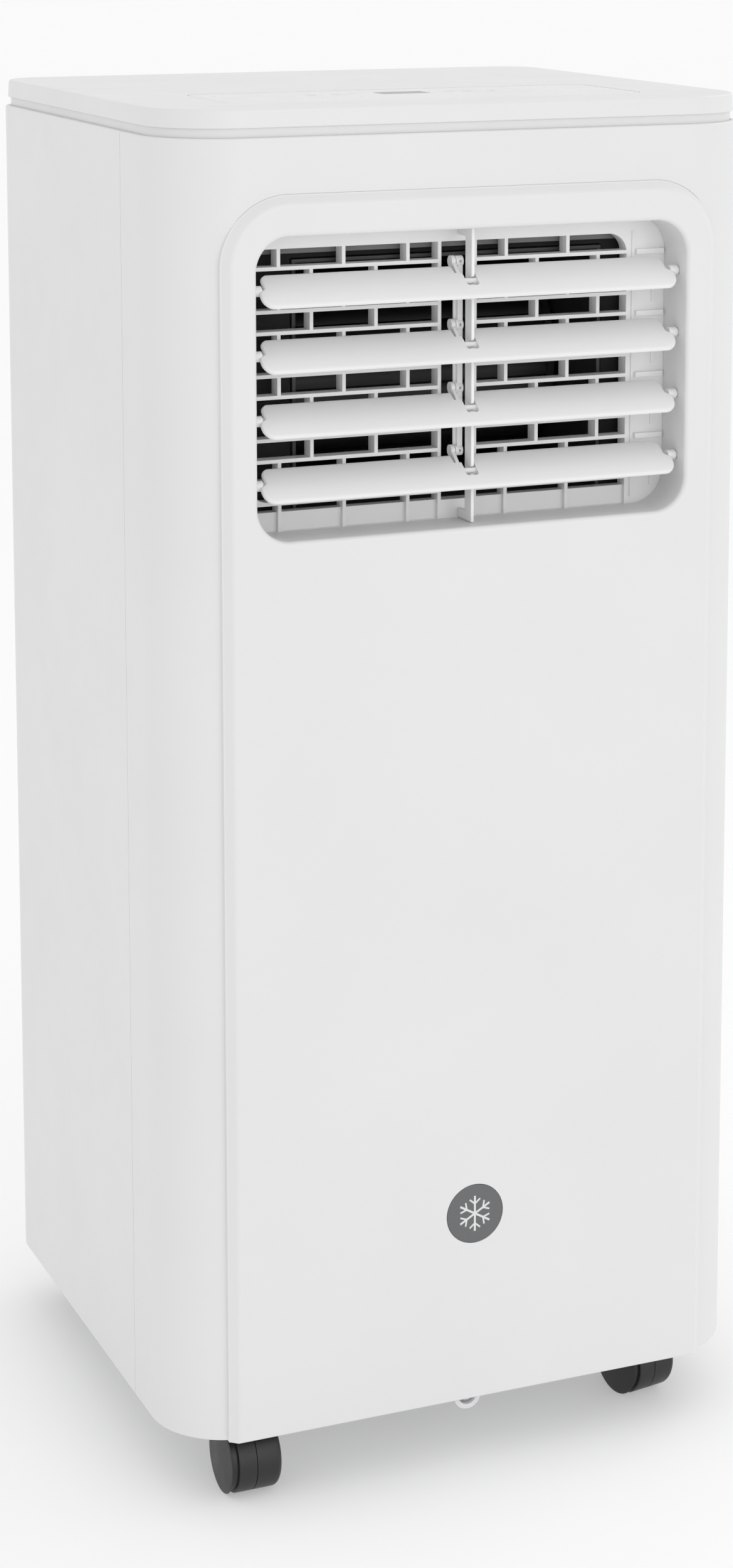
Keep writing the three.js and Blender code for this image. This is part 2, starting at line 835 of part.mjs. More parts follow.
add('exhaust_collar', exhaustCollar(), whitePlastic());
drains.forEach(({ name, x, z }) => {
  const cap = join(
    cylinderY(x, z, innerRearY + GAP, rearFaceY, drain.grip),
    cylinderY(x, z, innerRearY + GAP, rearY + drain.flange, drain.radius),
  );
  add(name, cap, greyPlastic());
});
add(
  'cord_gland',
  cut(
    join(
      cylinderY(gland.x, gland.z, innerRearY + GAP, rearY + gland.flange, gland.outer),
      cylinderY(gland.x, gland.z, innerRearY + GAP, rearFaceY, gland.boss),
    ),
    cylinderY(gland.x, gland.z, innerRearY - 1, rearFaceY + 1, gland.bore),
  ),
  rubber(),
);

// ---------------------------------------------------------------- air paths

const evaporatorFan = { y: -15, z: 560, radius: 56, halfWidth: 78, mouthY: -112, low: 497, high: 624 };
const condenserFan = { y: 18, z: 315, radius: 52, halfWidth: 40, mouthY: 118, low: 272, high: 374 };
const casing = { wall: 2, bellyClearance: 10, sideClearance: 4, inletInset: 12, shaftHole: 8 };
const wheel = {
  ring: 10,
  disc: 2.4,
  endRing: 4,
  hub: 10,
  hubLength: 24,
  slats: 12,
  slat: 1.6,
  slatInset: 1.5,
};
const motor = { radius: 32, length: 50, shaft: 5 };

// The sections of a fan casing in Y and Z: a round belly and the duct that leaves it.
function casingOutlines(fan, inset) {
  const { y, z, mouthY, low, high } = fan;
  const radius = fan.radius + casing.bellyClearance - inset;
  const mouth = mouthY + Math.sign(mouthY - y) * inset;
  const duct = new THREE.Shape();
  duct.moveTo(y, low + inset);
  duct.lineTo(mouth, low + inset);
  duct.lineTo(mouth, high - inset);
  duct.lineTo(y, high - inset);
  const belly = new THREE.Shape();
  belly.absarc(y, z, radius, 0, 2 * Math.PI);
  return [duct, belly];
}

function fanCasing(fan) {
  const { wall, inletInset, shaftHole } = casing;
  const side = fan.halfWidth + casing.sideClearance;
  const body = (inset, half) =>
    join(...casingOutlines(fan, inset).map((shape) => prismX(shape, -half, half, { curveSegments: 10 })));
  return cut(
    body(0, side + wall),
    body(wall, side),
    cylinderX(fan.y, fan.z, side - 1, side + wall + 1, fan.radius - inletInset, 20),
    cylinderX(fan.y, fan.z, -side - wall - 1, -side + 1, shaftHole),
  );
}

// A squirrel-cage wheel: a back disc, an end ring and a ring of slats, on a short hub.
function fanWheel(fan) {
  const { y, z, radius, halfWidth } = fan;
  const inner = radius - wheel.ring;
  const endRing = cut(
    cylinderX(y, z, halfWidth - wheel.endRing, halfWidth, radius, 20),
    cylinderX(y, z, halfWidth - wheel.endRing - 1, halfWidth + 1, inner, 20),
  );
  const slats = [];
  for (let index = 0; index < wheel.slats; index += 1) {
    const slat = box(
      -halfWidth + 1,
      halfWidth - 1,
      -wheel.slat / 2,
      wheel.slat / 2,
      inner + wheel.slatInset,
      radius - wheel.slatInset,
    );
    slats.push(slat.rotate([(360 / wheel.slats) * index, 0, 0]).translate([0, y, z]));
  }
  return join(
    cylinderX(y, z, -halfWidth, -halfWidth + wheel.disc, radius, 20),
    endRing,
    cylinderX(y, z, -halfWidth, -halfWidth + wheel.hubLength, wheel.hub),
    ...slats,
  );
}

// The motor stands outside the casing; its shaft stops just short of the wheel's hub.
function fanMotor(fan) {
  const casingSide = fan.halfWidth + casing.sideClearance + casing.wall;
  return join(
    cylinderX(fan.y, fan.z, -casingSide - GAP - motor.length, -casingSide - GAP, motor.radius, 20),
    cylinderX(fan.y, fan.z, -casingSide - 1, -fan.halfWidth - GAP, motor.shaft),
  );
}

add('evaporator_scroll', fanCasing(evaporatorFan), greyPlastic());
add('evaporator_fan', fanWheel(evaporatorFan), blackPlastic());
add('evaporator_fan_motor', fanMotor(evaporatorFan), steel());
add('condenser_scroll', fanCasing(condenserFan), greyPlastic());
add('condenser_fan', fanWheel(condenserFan), blackPlastic());
add('condenser_fan_motor', fanMotor(condenserFan), steel());

const coils = {
  halfWidth: 105,
  front: 96,
  back: 124,
  bendPitch: 25,
  bendHeight: 19,
  bendDepth: 8,
  bendReach: 7,
};

// A finned coil with return bends standing out at both ends.
function coil(z0, z1) {
  const { halfWidth, front, back, bendPitch, bendHeight, bendDepth } = coils;
  const tip = halfWidth + coils.bendReach;
  const middle = (front + back) / 2;
  const bends = [];
  for (let z = z0 + bendPitch / 2; z + bendPitch < z1; z += bendPitch) {
    bends.push(box(-tip, tip, middle - bendDepth / 2, middle + bendDepth / 2, z, z + bendHeight));
  }
  return join(box(-halfWidth, halfWidth, front, back, z0, z1), ...bends);
}

add('evaporator_coil', coil(432, 648), aluminium());
add('condenser_coil', coil(86, 226), aluminium());

// The drip tray that parts the cold chamber above from the hot chamber below.
function dripDeck() {
  const { z, thickness, front, back, halfWidth, rim } = deck;
  const inner = halfWidth - thickness;
  const drainHoles = deck.holesY.map((y) => cylinderZ(deck.holeX, y, z - 1, z + rim, deck.hole));
  return cut(
    box(-halfWidth, halfWidth, front, back, z, z + thickness + rim),
    box(-inner, inner, front + thickness, back - thickness, z + thickness, z + thickness + rim + 1),
    ...drainHoles,
  );
}

add('mid_deck', dripDeck(), greyPlastic());

// ---------------------------------------------------------------- compressor and pipes

const compressor = {
  x: -55,
  y: -50,
  radius: 52,
  bottom: 60,
  top: 215,
  shoulder: 0.3,
  foot: 66,
  footPad: 12,
  footThickness: 3,
  footDrop: 2,
  mount: 8,
};
const accumulator = {
  x: 21,
  y: -56,
  radius: 18,
  bottom: 80,
  top: 190,
  strapBottom: 130,
  strapTop: 142,
  strap: 6,
};
const mountAngles = [30, 150, 270].map(THREE.MathUtils.degToRad);
const panFloor = pan.bottom + pan.floor;

function mountPlace(angle) {
  return [compressor.x + compressor.foot * Math.cos(angle), compressor.y + compressor.foot * Math.sin(angle)];
}

// One leg of the foot plate, from under the can out to a round pad over its mount.
function compressorFoot(angle) {
  const { x, y, bottom, foot, footPad, footThickness, footDrop } = compressor;
  const [padX, padY] = mountPlace(angle);
  const low = bottom - footDrop;
  return join(
    box(0, foot, -footPad, footPad, low, low + footThickness)
      .rotate([0, 0, THREE.MathUtils.radToDeg(angle)])
      .translate([x, y, 0]),
    cylinderZ(padX, padY, low, low + footThickness, footPad),
  );
}

// The welded can on its three-legged foot plate, with the accumulator bottle strapped beside it.
function compressorSolid() {
  const { x, y, radius, bottom, top } = compressor;
  const bottle = accumulator;
  return join(
    canSolid(x, y, radius, bottom, top),
    ...mountAngles.map(compressorFoot),
    canSolid(bottle.x, bottle.y, bottle.radius, bottle.bottom, bottle.top),
    box(
      x + radius - bottle.strap,
      bottle.x - bottle.radius + bottle.strap,
      bottle.y - bottle.strap,
      bottle.y + bottle.strap,
      bottle.strapBottom,
      bottle.strapTop,
    ),
  );
}

// A pressure can: a cylinder with shoulders sloping to its flat ends.
function canSolid(x, y, radius, bottom, top) {
  const shoulder = radius * compressor.shoulder;
  const geometry = lathe([
    [0, bottom],
    [radius - shoulder, bottom],
    [radius, bottom + shoulder],
    [radius, top - shoulder],
    [radius - shoulder, top],
    [0, top],
  ]);
  geometry.rotateX(Math.PI / 2);
  return solid(geometry.translate(x, y, 0));
}

function pipe(points, radius) {
  const path = new THREE.CatmullRomCurve3(points.map(([x, y, z]) => new THREE.Vector3(x, y, z)));
  const section = new THREE.Shape();
  section.absarc(0, 0, radius, 0, 2 * Math.PI);
  return solid(
    new THREE.ExtrudeGeometry(section, {
      steps: 14,
      extrudePath: path,
      curveSegments: 4,
      bevelEnabled: false,
    }),
  );
}

add('compressor', compressorSolid(), paintedBlack());
mountAngles.forEach((angle, index) => {
  const [x, y] = mountPlace(angle);
  add(
    `compressor_mount_${index + 1}`,
    cylinderZ(x, y, panFloor + GAP, compressor.bottom - compressor.footDrop - GAP, compressor.mount, 12),
    rubber(),
  );
});

const pipes = { discharge: 4, suction: 5 };
const { x: canX, y: canY, top: canTop } = compressor;
add(
  'discharge_pipe',
  pipe(
    [
      [canX, canY, canTop + 2],
      [canX, canY, canTop + 25],
      [canX - 40, canY, canTop + 35],
      [-128, 0, canTop + 10],
      [-128, 70, canTop - 10],
      [-128, 110, canTop - 20],
    ],
    pipes.discharge,
  ),
  copper(),
);
add(
  'suction_pipe',
  pipe(
    [
      [accumulator.x, accumulator.y, accumulator.top + 5],
      [accumulator.x, canY - 30, canTop + 20],
      [60, -100, canTop + 60],
      [120, -100, 330],
      [135, -60, 370],
    ],
    pipes.suction,
  ),
  copper(),
);

// ---------------------------------------------------------------- electrics

const electrics = { left: 92, right: 150, front: -70, back: 60, bottom: 560, top: 670, wall: 2 };
const board = { x: 132, thickness: 1.6, margin: 10, bottom: 565, top: 660 };
const capacitor = { x: 112, y: -35, bottom: 563, top: 630, radius: 15 };

function electricsBox() {
  const { left, right, front, back, bottom, top, wall } = electrics;
  return cut(
    box(left, right, front, back, bottom, top),
    box(left + wall, right - wall, front + wall, back - wall, bottom + wall, top + 1),
  );
}

add('electronics_box', electricsBox(), greyPlastic());
add(
  'control_board',
  box(
    board.x,
    board.x + board.thickness,
    electrics.front + board.margin,
    electrics.back - board.margin,
    board.bottom,
    board.top,
  ),
  boardGreen(),
);
add(
  'run_capacitor',
  cylinderZ(capacitor.x, capacitor.y, capacitor.bottom, capacitor.top, capacitor.radius),
  aluminium(),
);

export default object;
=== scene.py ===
# Portable air conditioner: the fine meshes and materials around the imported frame.
# Lengths are in millimetres until a piece is made; +Z is up and the front faces -Y.

import json
from math import atan2, copysign, cos, degrees, pi, radians, sin, sqrt, tan

import bmesh
import bpy
from mathutils import Matrix, Vector


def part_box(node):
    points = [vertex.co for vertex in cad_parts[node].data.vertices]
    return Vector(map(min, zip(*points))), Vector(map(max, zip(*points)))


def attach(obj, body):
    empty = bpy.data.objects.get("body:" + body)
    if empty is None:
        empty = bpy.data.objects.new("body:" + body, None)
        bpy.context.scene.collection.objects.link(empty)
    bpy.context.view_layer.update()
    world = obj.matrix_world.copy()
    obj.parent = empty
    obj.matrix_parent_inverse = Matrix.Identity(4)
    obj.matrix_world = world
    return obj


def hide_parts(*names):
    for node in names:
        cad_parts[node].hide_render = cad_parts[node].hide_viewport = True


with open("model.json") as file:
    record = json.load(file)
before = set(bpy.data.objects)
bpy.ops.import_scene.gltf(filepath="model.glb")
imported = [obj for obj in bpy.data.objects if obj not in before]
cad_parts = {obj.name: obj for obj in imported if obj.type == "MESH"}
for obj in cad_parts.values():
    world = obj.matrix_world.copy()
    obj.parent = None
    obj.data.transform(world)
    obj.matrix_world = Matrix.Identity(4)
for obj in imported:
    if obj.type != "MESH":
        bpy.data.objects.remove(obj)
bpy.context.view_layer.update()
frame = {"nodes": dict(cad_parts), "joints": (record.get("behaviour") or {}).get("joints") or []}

MM = 0.001
GAP = 0.3
JOINTS = {joint["name"]: joint for joint in frame["joints"]}


def span(node):
    """A CAD node's lowest and highest corners, in millimetres."""
    low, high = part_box(node)
    return low / MM, high / MM


def middle(node):
    """The middle of a CAD node, in millimetres."""
    low, high = span(node)
    return (low + high) / 2


def joint_place(name):
    """A joint's position, in millimetres."""
    return Vector(JOINTS[name]["pos_m"]) / MM


# ---------------------------------------------------------------- dimensions

shell_low, shell_high = span("front_shell")
rear_low, rear_high = span("rear_shell")
lid_low, lid_high = span("top_lid")
grille_low, grille_high = span("outlet_grille")
overlay_low, overlay_high = span("control_panel")
window_low, window_high = span("display_window")

SIDE_X = shell_high.x
FRONT_Y = -rear_high.y
REAR_Y = rear_high.y
REAR_HOLE = (REAR_Y - 10, REAR_Y + 1)
FACE_Y = shell_low.y
PROUD = FRONT_Y - FACE_Y
BOTTOM = shell_low.z
TOP = shell_high.z
WALL = 2.6
FRONT_RADIUS = 40
REAR_RADIUS = 23
CORNER_STEPS = 24
SHELL_ROUNDING = 1.0

PANEL_HALF = 126.7
PANEL_TOP = 653.3
PANEL_RADIUS = 29
SHOULDER_SLOPE = radians(46)
SHOULDER_FILLET = 1.2
SHOULDER_ROUND = 3
SHOULDER_GROOVE = 0.35

OPENING_HALF = 115
OPENING_BOTTOM = 491.5
OPENING_TOP = 639
OPENING_RADIUS = 17
OPENING_WALL = 2.4
OPENING_LIP = 2.4

BADGE_RADIUS = 15.4
BADGE_Z = middle("badge").z

LID_INSET = SIDE_X - lid_high.x
LID_UNDERSIDE = 690.8
LID_TAPER = 0.5
LID_ROUNDING = 1.3
LID_WALL = 3
OVERLAY_RADIUS = 10

BLADE_AXES = [joint_place(f"louvre_{index}_tilt") for index in (1, 2, 3, 4)]
BLADE_TILT = radians(35)
BLADE_HALF = 111.2
BLADE_REAR_HALF = 108
BLADE_FRONT = 12
BLADE_REAR = 10.5
BLADE_THICKNESS = 2.2
BLADE_CROWN = 1.5
BLADE_FRONT_CORNER = 6.5
BLADE_REAR_CORNER = 5.5
KNOB_RADIUS = 2.6
KNOB_REACH = 114.6
END_PIN = 1.7
END_PIN_REACH = 116.8
CENTRE_PIN = 1.3
NOTCH_HALF = 3.3
NOTCH_FRONT = -5

ARM_LEFT = -6.4
ARM_RIGHT = -4.3
ARM_REACH = 13.3
ARM_RISE = radians(41)
ARM_BOSS = 2.9
ARM_STRAP = 1.6
ARM_PIN = 1.1
ROD_LEFT = -3.9
ROD_RIGHT = 0
ROD_EYE = 2.7
BAR_LEFT = 0.4
BAR_RIGHT = 2.1
BAR_FRONT = 1.4
BAR_NOTCH = 1.7
BAR_DEPTH = 8
BAR_FOOT = 5

GRILLE_FRONT = grille_low.y
GRILLE_BACK = grille_high.y
GRILLE_FLANGE = 3
GRILLE_LEFT = -111.5
GRILLE_RIGHT = 94.5
GRILLE_FIRST_ROW = 495
GRILLE_ROW_PITCH = 10.5
GRILLE_ROWS = 13
GRILLE_TOP_ROW = GRILLE_FIRST_ROW + GRILLE_ROWS * GRILLE_ROW_PITCH
GRILLE_RIB = 1.8
GRILLE_CORNER = 10
LEDGE_DEPTH = 2.2
LEDGE_TOP = 501
RIB_OFFSET = 9.6
RIB_PITCH = 34

CASTERS = ["caster_front_left", "caster_front_right", "caster_rear_left", "caster_rear_right"]
CASTER_TRAIL = 10.8
CASTER_TURNS = {"caster_front_left": 180, "caster_front_right": 10}
WHEEL_RADIUS = 18
WHEEL_OUTER = 14
WHEEL_SEAM = 0.18
WEB_HALF = 0.12
HOOD_INNER = 18.6
HOOD_OUTER = 19.6
HOOD_HALF = 14.3
STEM_RADIUS = 4
AXLE_RADIUS = 2

OVERLAY_POCKET = 1
POCKET_GAP = 0.7
WINDOW_RADIUS = 1.5
KEY_OFFSET = 14
BADGE_RELIEF = 0.15
PAN_WALL = 2.4
PAN_FLOOR = 3
SOCKET_TOP = 60
SOCKET_RADIUS = 8.5
RIDGE_X = 107.6
HOOD_END = 150

INTAKE_GAP = 0.4
INTAKE_CORNER = 4
SLOT_COLUMNS = 3
SLOT_BORDER = 10
SLOT_MULLION = 4
SLOT_PITCH = 14
SLOT_HEIGHT = 8.5
EXHAUST_OUTER = 65
SCREW_PLACES = [(x, z) for z in (110, 372, 668) for x in (-128, 128)]
SCREW_SEAT = 4.6
SCREW_SEAT_DEPTH = 1.7
SCREW_HEAD = 3.9

# A fan's axis y and z, wheel radius and half width, the duct's mouth y, and its low and high z.
FANS = {"evaporator": (-15, 560, 56, 78, -112, 497, 624), "condenser": (18, 315, 52, 40, 118, 272, 374)}
FAN_BLADES = 32
FIN_PITCH = 2.2
COIL_BEND_REACH = 7
COMPRESSOR_PLACE = (-55, -50)
ACCUMULATOR_PLACE = (21, -56)
MOUNT_ANGLES = (30, 150, 270)
SEAL_HALF = 118
DUCT_LIP = 627

# ---------------------------------------------------------------- mesh kit


def arc(centre_u, centre_v, radius, start, end, steps=CORNER_STEPS):
    """Points along an arc; the angles are in degrees."""
    angles = [radians(start + (end - start) * k / steps) for k in range(steps + 1)]
    return [(centre_u + radius * cos(a), centre_v + radius * sin(a)) for a in angles]


def quarter(steps):
    """The angles of a quarter turn, in equal steps."""
    return [pi / 2 * k / steps for k in range(steps + 1)]


def rounded_rect(u0, u1, v0, v1, low, high=None, steps=CORNER_STEPS):
    """A rounded rectangle; low rounds its two low corners and high its two high ones."""
    high = low if high is None else high
    return (
        arc(u1 - low, v0 + low, low, -90, 0, steps)
        + arc(u1 - high, v1 - high, high, 0, 90, steps)
        + arc(u0 + high, v1 - high, high, 90, 180, steps)
        + arc(u0 + low, v0 + low, low, 180, 270, steps)
    )


def node_rect(low, high, axis, radius, grow=0, steps=CORNER_STEPS):
    """A node's outline seen along an axis, grown all round, with rounded corners."""
    v0, v1 = (low.z, high.z) if axis == "Y" else (low.y, high.y)
    return rounded_rect(low.x - grow, high.x + grow, v0 - grow, v1 + grow, radius, steps=steps)


def in_plane(points, axis, level):
    """Flat points put at a level along an axis: Z takes x and y, Y takes x and z, X takes y and z."""
    if axis == "Z":
        return [Vector((u, v, level)) for u, v in points]
    if axis == "Y":
        return [Vector((u, level, v)) for u, v in points]
    return [Vector((level, u, v)) for u, v in points]


def cleaned(bm):
    bmesh.ops.remove_doubles(bm, verts=bm.verts, dist=1e-4)
    bmesh.ops.dissolve_degenerate(bm, edges=bm.edges, dist=1e-5)
    bmesh.ops.recalc_face_normals(bm, faces=bm.faces)
    return bm


def loft(rings):
    """A closed solid through rings that have the same number of points."""
    bm = bmesh.new()
    rows = [[bm.verts.new(point) for point in ring] for ring in rings]
    for low, high in zip(rows, rows[1:]):
        for k in range(len(low)):
            after = (k + 1) % len(low)
            bm.faces.new((low[k], low[after], high[after], high[k]))
    bm.faces.new(rows[0][::-1])
    bm.faces.new(rows[-1])
    return cleaned(bm)


def prism(points, axis, level0, level1):
    """An outline pushed along an axis."""
    return loft([in_plane(points, axis, level0), in_plane(points, axis, level1)])


def box(x0, x1, y0, y1, z0, z1):
    return prism([(x0, y0), (x1, y0), (x1, y1), (x0, y1)], "Z", z0, z1)


def cylinder(axis, u, v, level0, level1, radius, sides=48):
    return prism(arc(u, v, radius, 0, 360 - 360 / sides, sides - 1), axis, level0, level1)


def lathe(profile, sides=64, closed=False):
    """A profile of (radius, height) points turned about Z."""
    bm = bmesh.new()
    turns = []
    for k in range(sides):
        angle = 2 * pi * k / sides
        turns.append([bm.verts.new((r * cos(angle), r * sin(angle), h)) for r, h in profile])
    count = len(profile)
    for k in range(sides):
        here, there = turns[k], turns[(k + 1) % sides]
        for i in range(count if closed else count - 1):
            j = (i + 1) % count
            bm.faces.new((here[i], there[i], there[j], here[j]))
    return cleaned(bm)


def shift(x, y, z):
    return Matrix.Translation((x, y, z))


def turn_about(axis, angle):
    return Matrix.Rotation(angle, 4, axis)


def moved(bm, matrix):
    bmesh.ops.transform(bm, matrix=matrix, verts=bm.verts)
    return bm


def joined(*parts):
    """Several closed meshes as one bmesh, without a boolean."""
    whole = bmesh.new()
    for part in parts:
        mesh = bpy.data.meshes.new("part")
        part.to_mesh(mesh)
        part.free()
        whole.from_mesh(mesh)
        bpy.data.meshes.remove(mesh)
    return whole


def scratch_object(bm):
    mesh = bpy.data.meshes.new("scratch")
    bm.to_mesh(mesh)
    bm.free()
    scratch = bpy.data.objects.new("scratch", mesh)
    bpy.context.scene.collection.objects.link(scratch)
    return scratch


def baked(obj):
    """Replaces an object's mesh by what its modifiers make of it."""
    depsgraph = bpy.context.evaluated_depsgraph_get()
    result = bpy.data.meshes.new_from_object(obj.evaluated_get(depsgraph))
    old = obj.data
    obj.modifiers.clear()
    obj.data = result
    bpy.data.meshes.remove(old)
    return obj


def combined(base, tool, operation):
    """A boolean of two closed meshes; the tool may hold several bodies that don't touch."""
    target = scratch_object(base)
    other = scratch_object(tool)
    modifier = target.modifiers.new("boolean", "BOOLEAN")
    modifier.operation = operation
    modifier.solver = "MANIFOLD"
    modifier.object = other
    baked(target)
    result = bmesh.new()
    result.from_mesh(target.data)
    for scratch in (target, other):
        mesh = scratch.data
        bpy.data.objects.remove(scratch)
        bpy.data.meshes.remove(mesh)
    return cleaned(result)


def union(base, *tools):
    for tool in tools:
        base = combined(base, tool, "UNION")
    return base


def cut(base, *tools):
    return combined(base, joined(*tools), "DIFFERENCE")


def dressed(obj, look):
    obj.data.materials.clear()
    obj.data.materials.append(LOOKS[look])


def piece(name, bm, look, node=None, body="body", bevel=0, segments=2, crease=32):
    """Makes a piece from a closed mesh: rounds its edges, smooths it and hangs it on a body."""
    bmesh.ops.recalc_face_normals(bm, faces=bm.faces)
    bmesh.ops.scale(bm, vec=(MM, MM, MM), verts=bm.verts)
    obj = scratch_object(bm)
    obj.name = name
    if bevel:
        rounding = obj.modifiers.new("rounding", "BEVEL")
        rounding.width = bevel * MM
        rounding.segments = segments
        rounding.limit_method = "ANGLE"
        rounding.angle_limit = radians(crease)
        rounding.use_clamp_overlap = True
        baked(obj)
    obj.data.name = name
    obj.data.shade_smooth()
    obj.data.set_sharp_from_angle(angle=radians(crease))
    weighted = obj.modifiers.new("normals", "WEIGHTED_NORMAL")
    weighted.keep_sharp = True
    baked(obj)
    dressed(obj, look)
    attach(obj, body)
    if node:
        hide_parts(node)


# ---------------------------------------------------------------- materials


def set_inputs(node, values):
    for key, value in values.items():
        node.inputs[key].default_value = value


def node(tree, kind, inputs=None, **settings):
    made = tree.nodes.new(kind)
    for key, value in settings.items():
        setattr(made, key, value)
    set_inputs(made, inputs or {})
    return made


def blank(name):
    """A new material, with its node tree, its shader and its object coordinates."""
    material = bpy.data.materials.new(name)
    material.use_nodes = True
    tree = material.node_tree
    place = node(tree, "ShaderNodeTexCoord").outputs["Object"]
    return material, tree, tree.nodes["Principled BSDF"], place


def noise(tree, coordinates, scale, detail=3, roughness=0.5):
    made = node(tree, "ShaderNodeTexNoise", {"Scale": scale, "Detail": detail, "Roughness": roughness})
    tree.links.new(coordinates, made.inputs["Vector"])
    return made.outputs["Fac"]


def ranged(tree, source, low, high):
    """A noise whose middle range is stretched to run from low to high."""
    limits = {"From Min": 0.3, "From Max": 0.7, "To Min": low, "To Max": high}
    made = node(tree, "ShaderNodeMapRange", limits)
    tree.links.new(source, made.inputs["Value"])
    return made.outputs["Result"]


def mixed(tree, factor, first, second):
    """A colour that goes from first to second; both are linear RGB."""
    made = node(tree, "ShaderNodeMix", {6: (*first, 1), 7: (*second, 1)}, data_type="RGBA")
    tree.links.new(factor, made.inputs["Factor"])
    return made.outputs[2]


def bumped(tree, height, strength, distance, normal=None):
    made = node(tree, "ShaderNodeBump", {"Strength": strength, "Distance": distance})
    tree.links.new(height, made.inputs["Height"])
    if normal is not None:
        tree.links.new(normal, made.inputs["Normal"])
    return made.outputs["Normal"]


def shade(color, amount):
    return tuple(min(1, channel * amount) for channel in color)


def plastic(name, color, roughness, grain=700, bump=0.12, spread=0.025, specular=0.5, coat=0):
    """Moulded plastic: a slightly clouded colour, uneven gloss and a fine spark-eroded grain."""
    material, tree, shader, place = blank(name)
    cloud = ranged(tree, noise(tree, place, 9, 4), 0, 1)
    tree.links.new(mixed(tree, cloud, shade(color, 1 - spread), color), shader.inputs["Base Color"])
    patches = noise(tree, place, 55, 5, 0.6)
    tree.links.new(ranged(tree, patches, roughness - 0.05, roughness + 0.06), shader.inputs["Roughness"])
    wave = bumped(tree, noise(tree, place, 26, 2), 0.10, 0.0004)
    fine = bumped(tree, noise(tree, place, grain, 4, 0.65), bump, 0.00012, wave)
    tree.links.new(fine, shader.inputs["Normal"])
    set_inputs(shader, {"Specular IOR Level": specular, "Coat Weight": coat, "Coat Roughness": 0.12})
    return material


def metal(name, color, roughness, stretch=(1, 1, 1), bump=0.1, scale=300):
    """Metal with fine drawn or turned marks; stretch draws the marks out along an axis."""
    material, tree, shader, place = blank(name)
    mapping = node(tree, "ShaderNodeMapping", {"Scale": stretch})
    tree.links.new(place, mapping.inputs["Vector"])
    marks = noise(tree, mapping.outputs["Vector"], scale, 5, 0.7)
    tree.links.new(mixed(tree, marks, shade(color, 0.82), color), shader.inputs["Base Color"])
    tree.links.new(ranged(tree, marks, roughness - 0.08, roughness + 0.12), shader.inputs["Roughness"])
    tree.links.new(bumped(tree, marks, bump, 0.0002), shader.inputs["Normal"])
    set_inputs(shader, {"Metallic": 1})
    return material


WHITE = (0.745, 0.745, 0.751)
BRIGHT_WHITE = (0.87, 0.87, 0.875)
LOOKS = {
    "white": plastic("white_moulded_plastic", WHITE, 0.40),
    "blade": plastic("white_blade_plastic", shade(BRIGHT_WHITE, 0.92), 0.34, bump=0.08),
    "grille": plastic("white_grille_plastic", BRIGHT_WHITE, 0.42),
    "overlay": plastic("white_overlay_film", (0.73, 0.73, 0.735), 0.30, grain=1500, bump=0.04),
    "window": plastic("smoky_window", (0.33, 0.335, 0.345), 0.35, grain=300, bump=0.02, specular=0.3),
    "print": plastic("grey_print", (0.65, 0.655, 0.66), 0.5),
    "grey": plastic("grey_moulded_plastic", (0.30, 0.305, 0.31), 0.55, grain=500, bump=0.25),
    "black": plastic("black_satin_plastic", (0.015, 0.015, 0.016), 0.42, grain=600, bump=0.12, spread=0.2),
    # Near-black plastic for the evaporator scroll: painted shade inside the outlet, where the condenser
    # scroll keeps the grey plastic.
    "duct": plastic("black_duct_plastic_painted_shade", (0.05, 0.05, 0.052), 0.5, grain=500, bump=0.2, spread=0.3),
    # Grey lip, lighter than the black foam around it: painted light, the lit band at the top of the top
    # row's cells.
    "painted_light_lip": plastic("grey_lip_plastic_painted_light", (0.18, 0.18, 0.185), 0.5, grain=500, bump=0.2),
    # Near-black foam: painted shade for the grille's outer cells, which it closes off.
    "foam": plastic("black_foam_painted_shade", (0.03, 0.03, 0.03), 0.9, grain=420, bump=0.9, spread=0.4, specular=0.1),
    "badge": plastic("badge_grey_enamel", (0.112, 0.114, 0.117), 0.28, grain=400, bump=0.03, coat=0.4),
    "badge_light": plastic("badge_pale_enamel", (0.72, 0.72, 0.725), 0.3, grain=400, bump=0.03),
    "tab": plastic("translucent_white_plastic", (0.74, 0.74, 0.75), 0.32, bump=0.05),
    "rubber": plastic("black_rubber", (0.018, 0.018, 0.018), 0.75, grain=380, bump=0.4, specular=0.25),
    "mesh": plastic("grey_filter_mesh", (0.13, 0.135, 0.14), 0.7, grain=900, bump=0.5),
    "steel": metal("zinc_plated_steel", (0.60, 0.61, 0.62), 0.34),
    "enamel": metal("black_enamelled_steel", (0.03, 0.03, 0.033), 0.4, bump=0.2, scale=180),
    "copper": metal("drawn_copper", (0.78, 0.36, 0.20), 0.3, stretch=(1, 1, 0.1)),
    "aluminium": metal("finned_aluminium", (0.72, 0.73, 0.74), 0.4, (25, 0.4, 0.4), bump=0.8, scale=60),
    "board": plastic("board_green", (0.03, 0.13, 0.06), 0.45, grain=250, bump=0.3, spread=0.3),
}
# The record's material slot of each look whose name is another one.
SLOTS = {
    **dict.fromkeys(("white", "blade", "grille", "overlay", "badge_light", "tab"), "white_plastic"),
    **dict.fromkeys(("print", "grey", "painted_light_lip"), "grey_plastic"),
    **dict.fromkeys(("black", "duct"), "black_plastic"),
    "foam": "rubber",
    "window": "display_window",
    "badge": "badge_grey",
    "enamel": "compressor_black",
}

# ---------------------------------------------------------------- cabinet


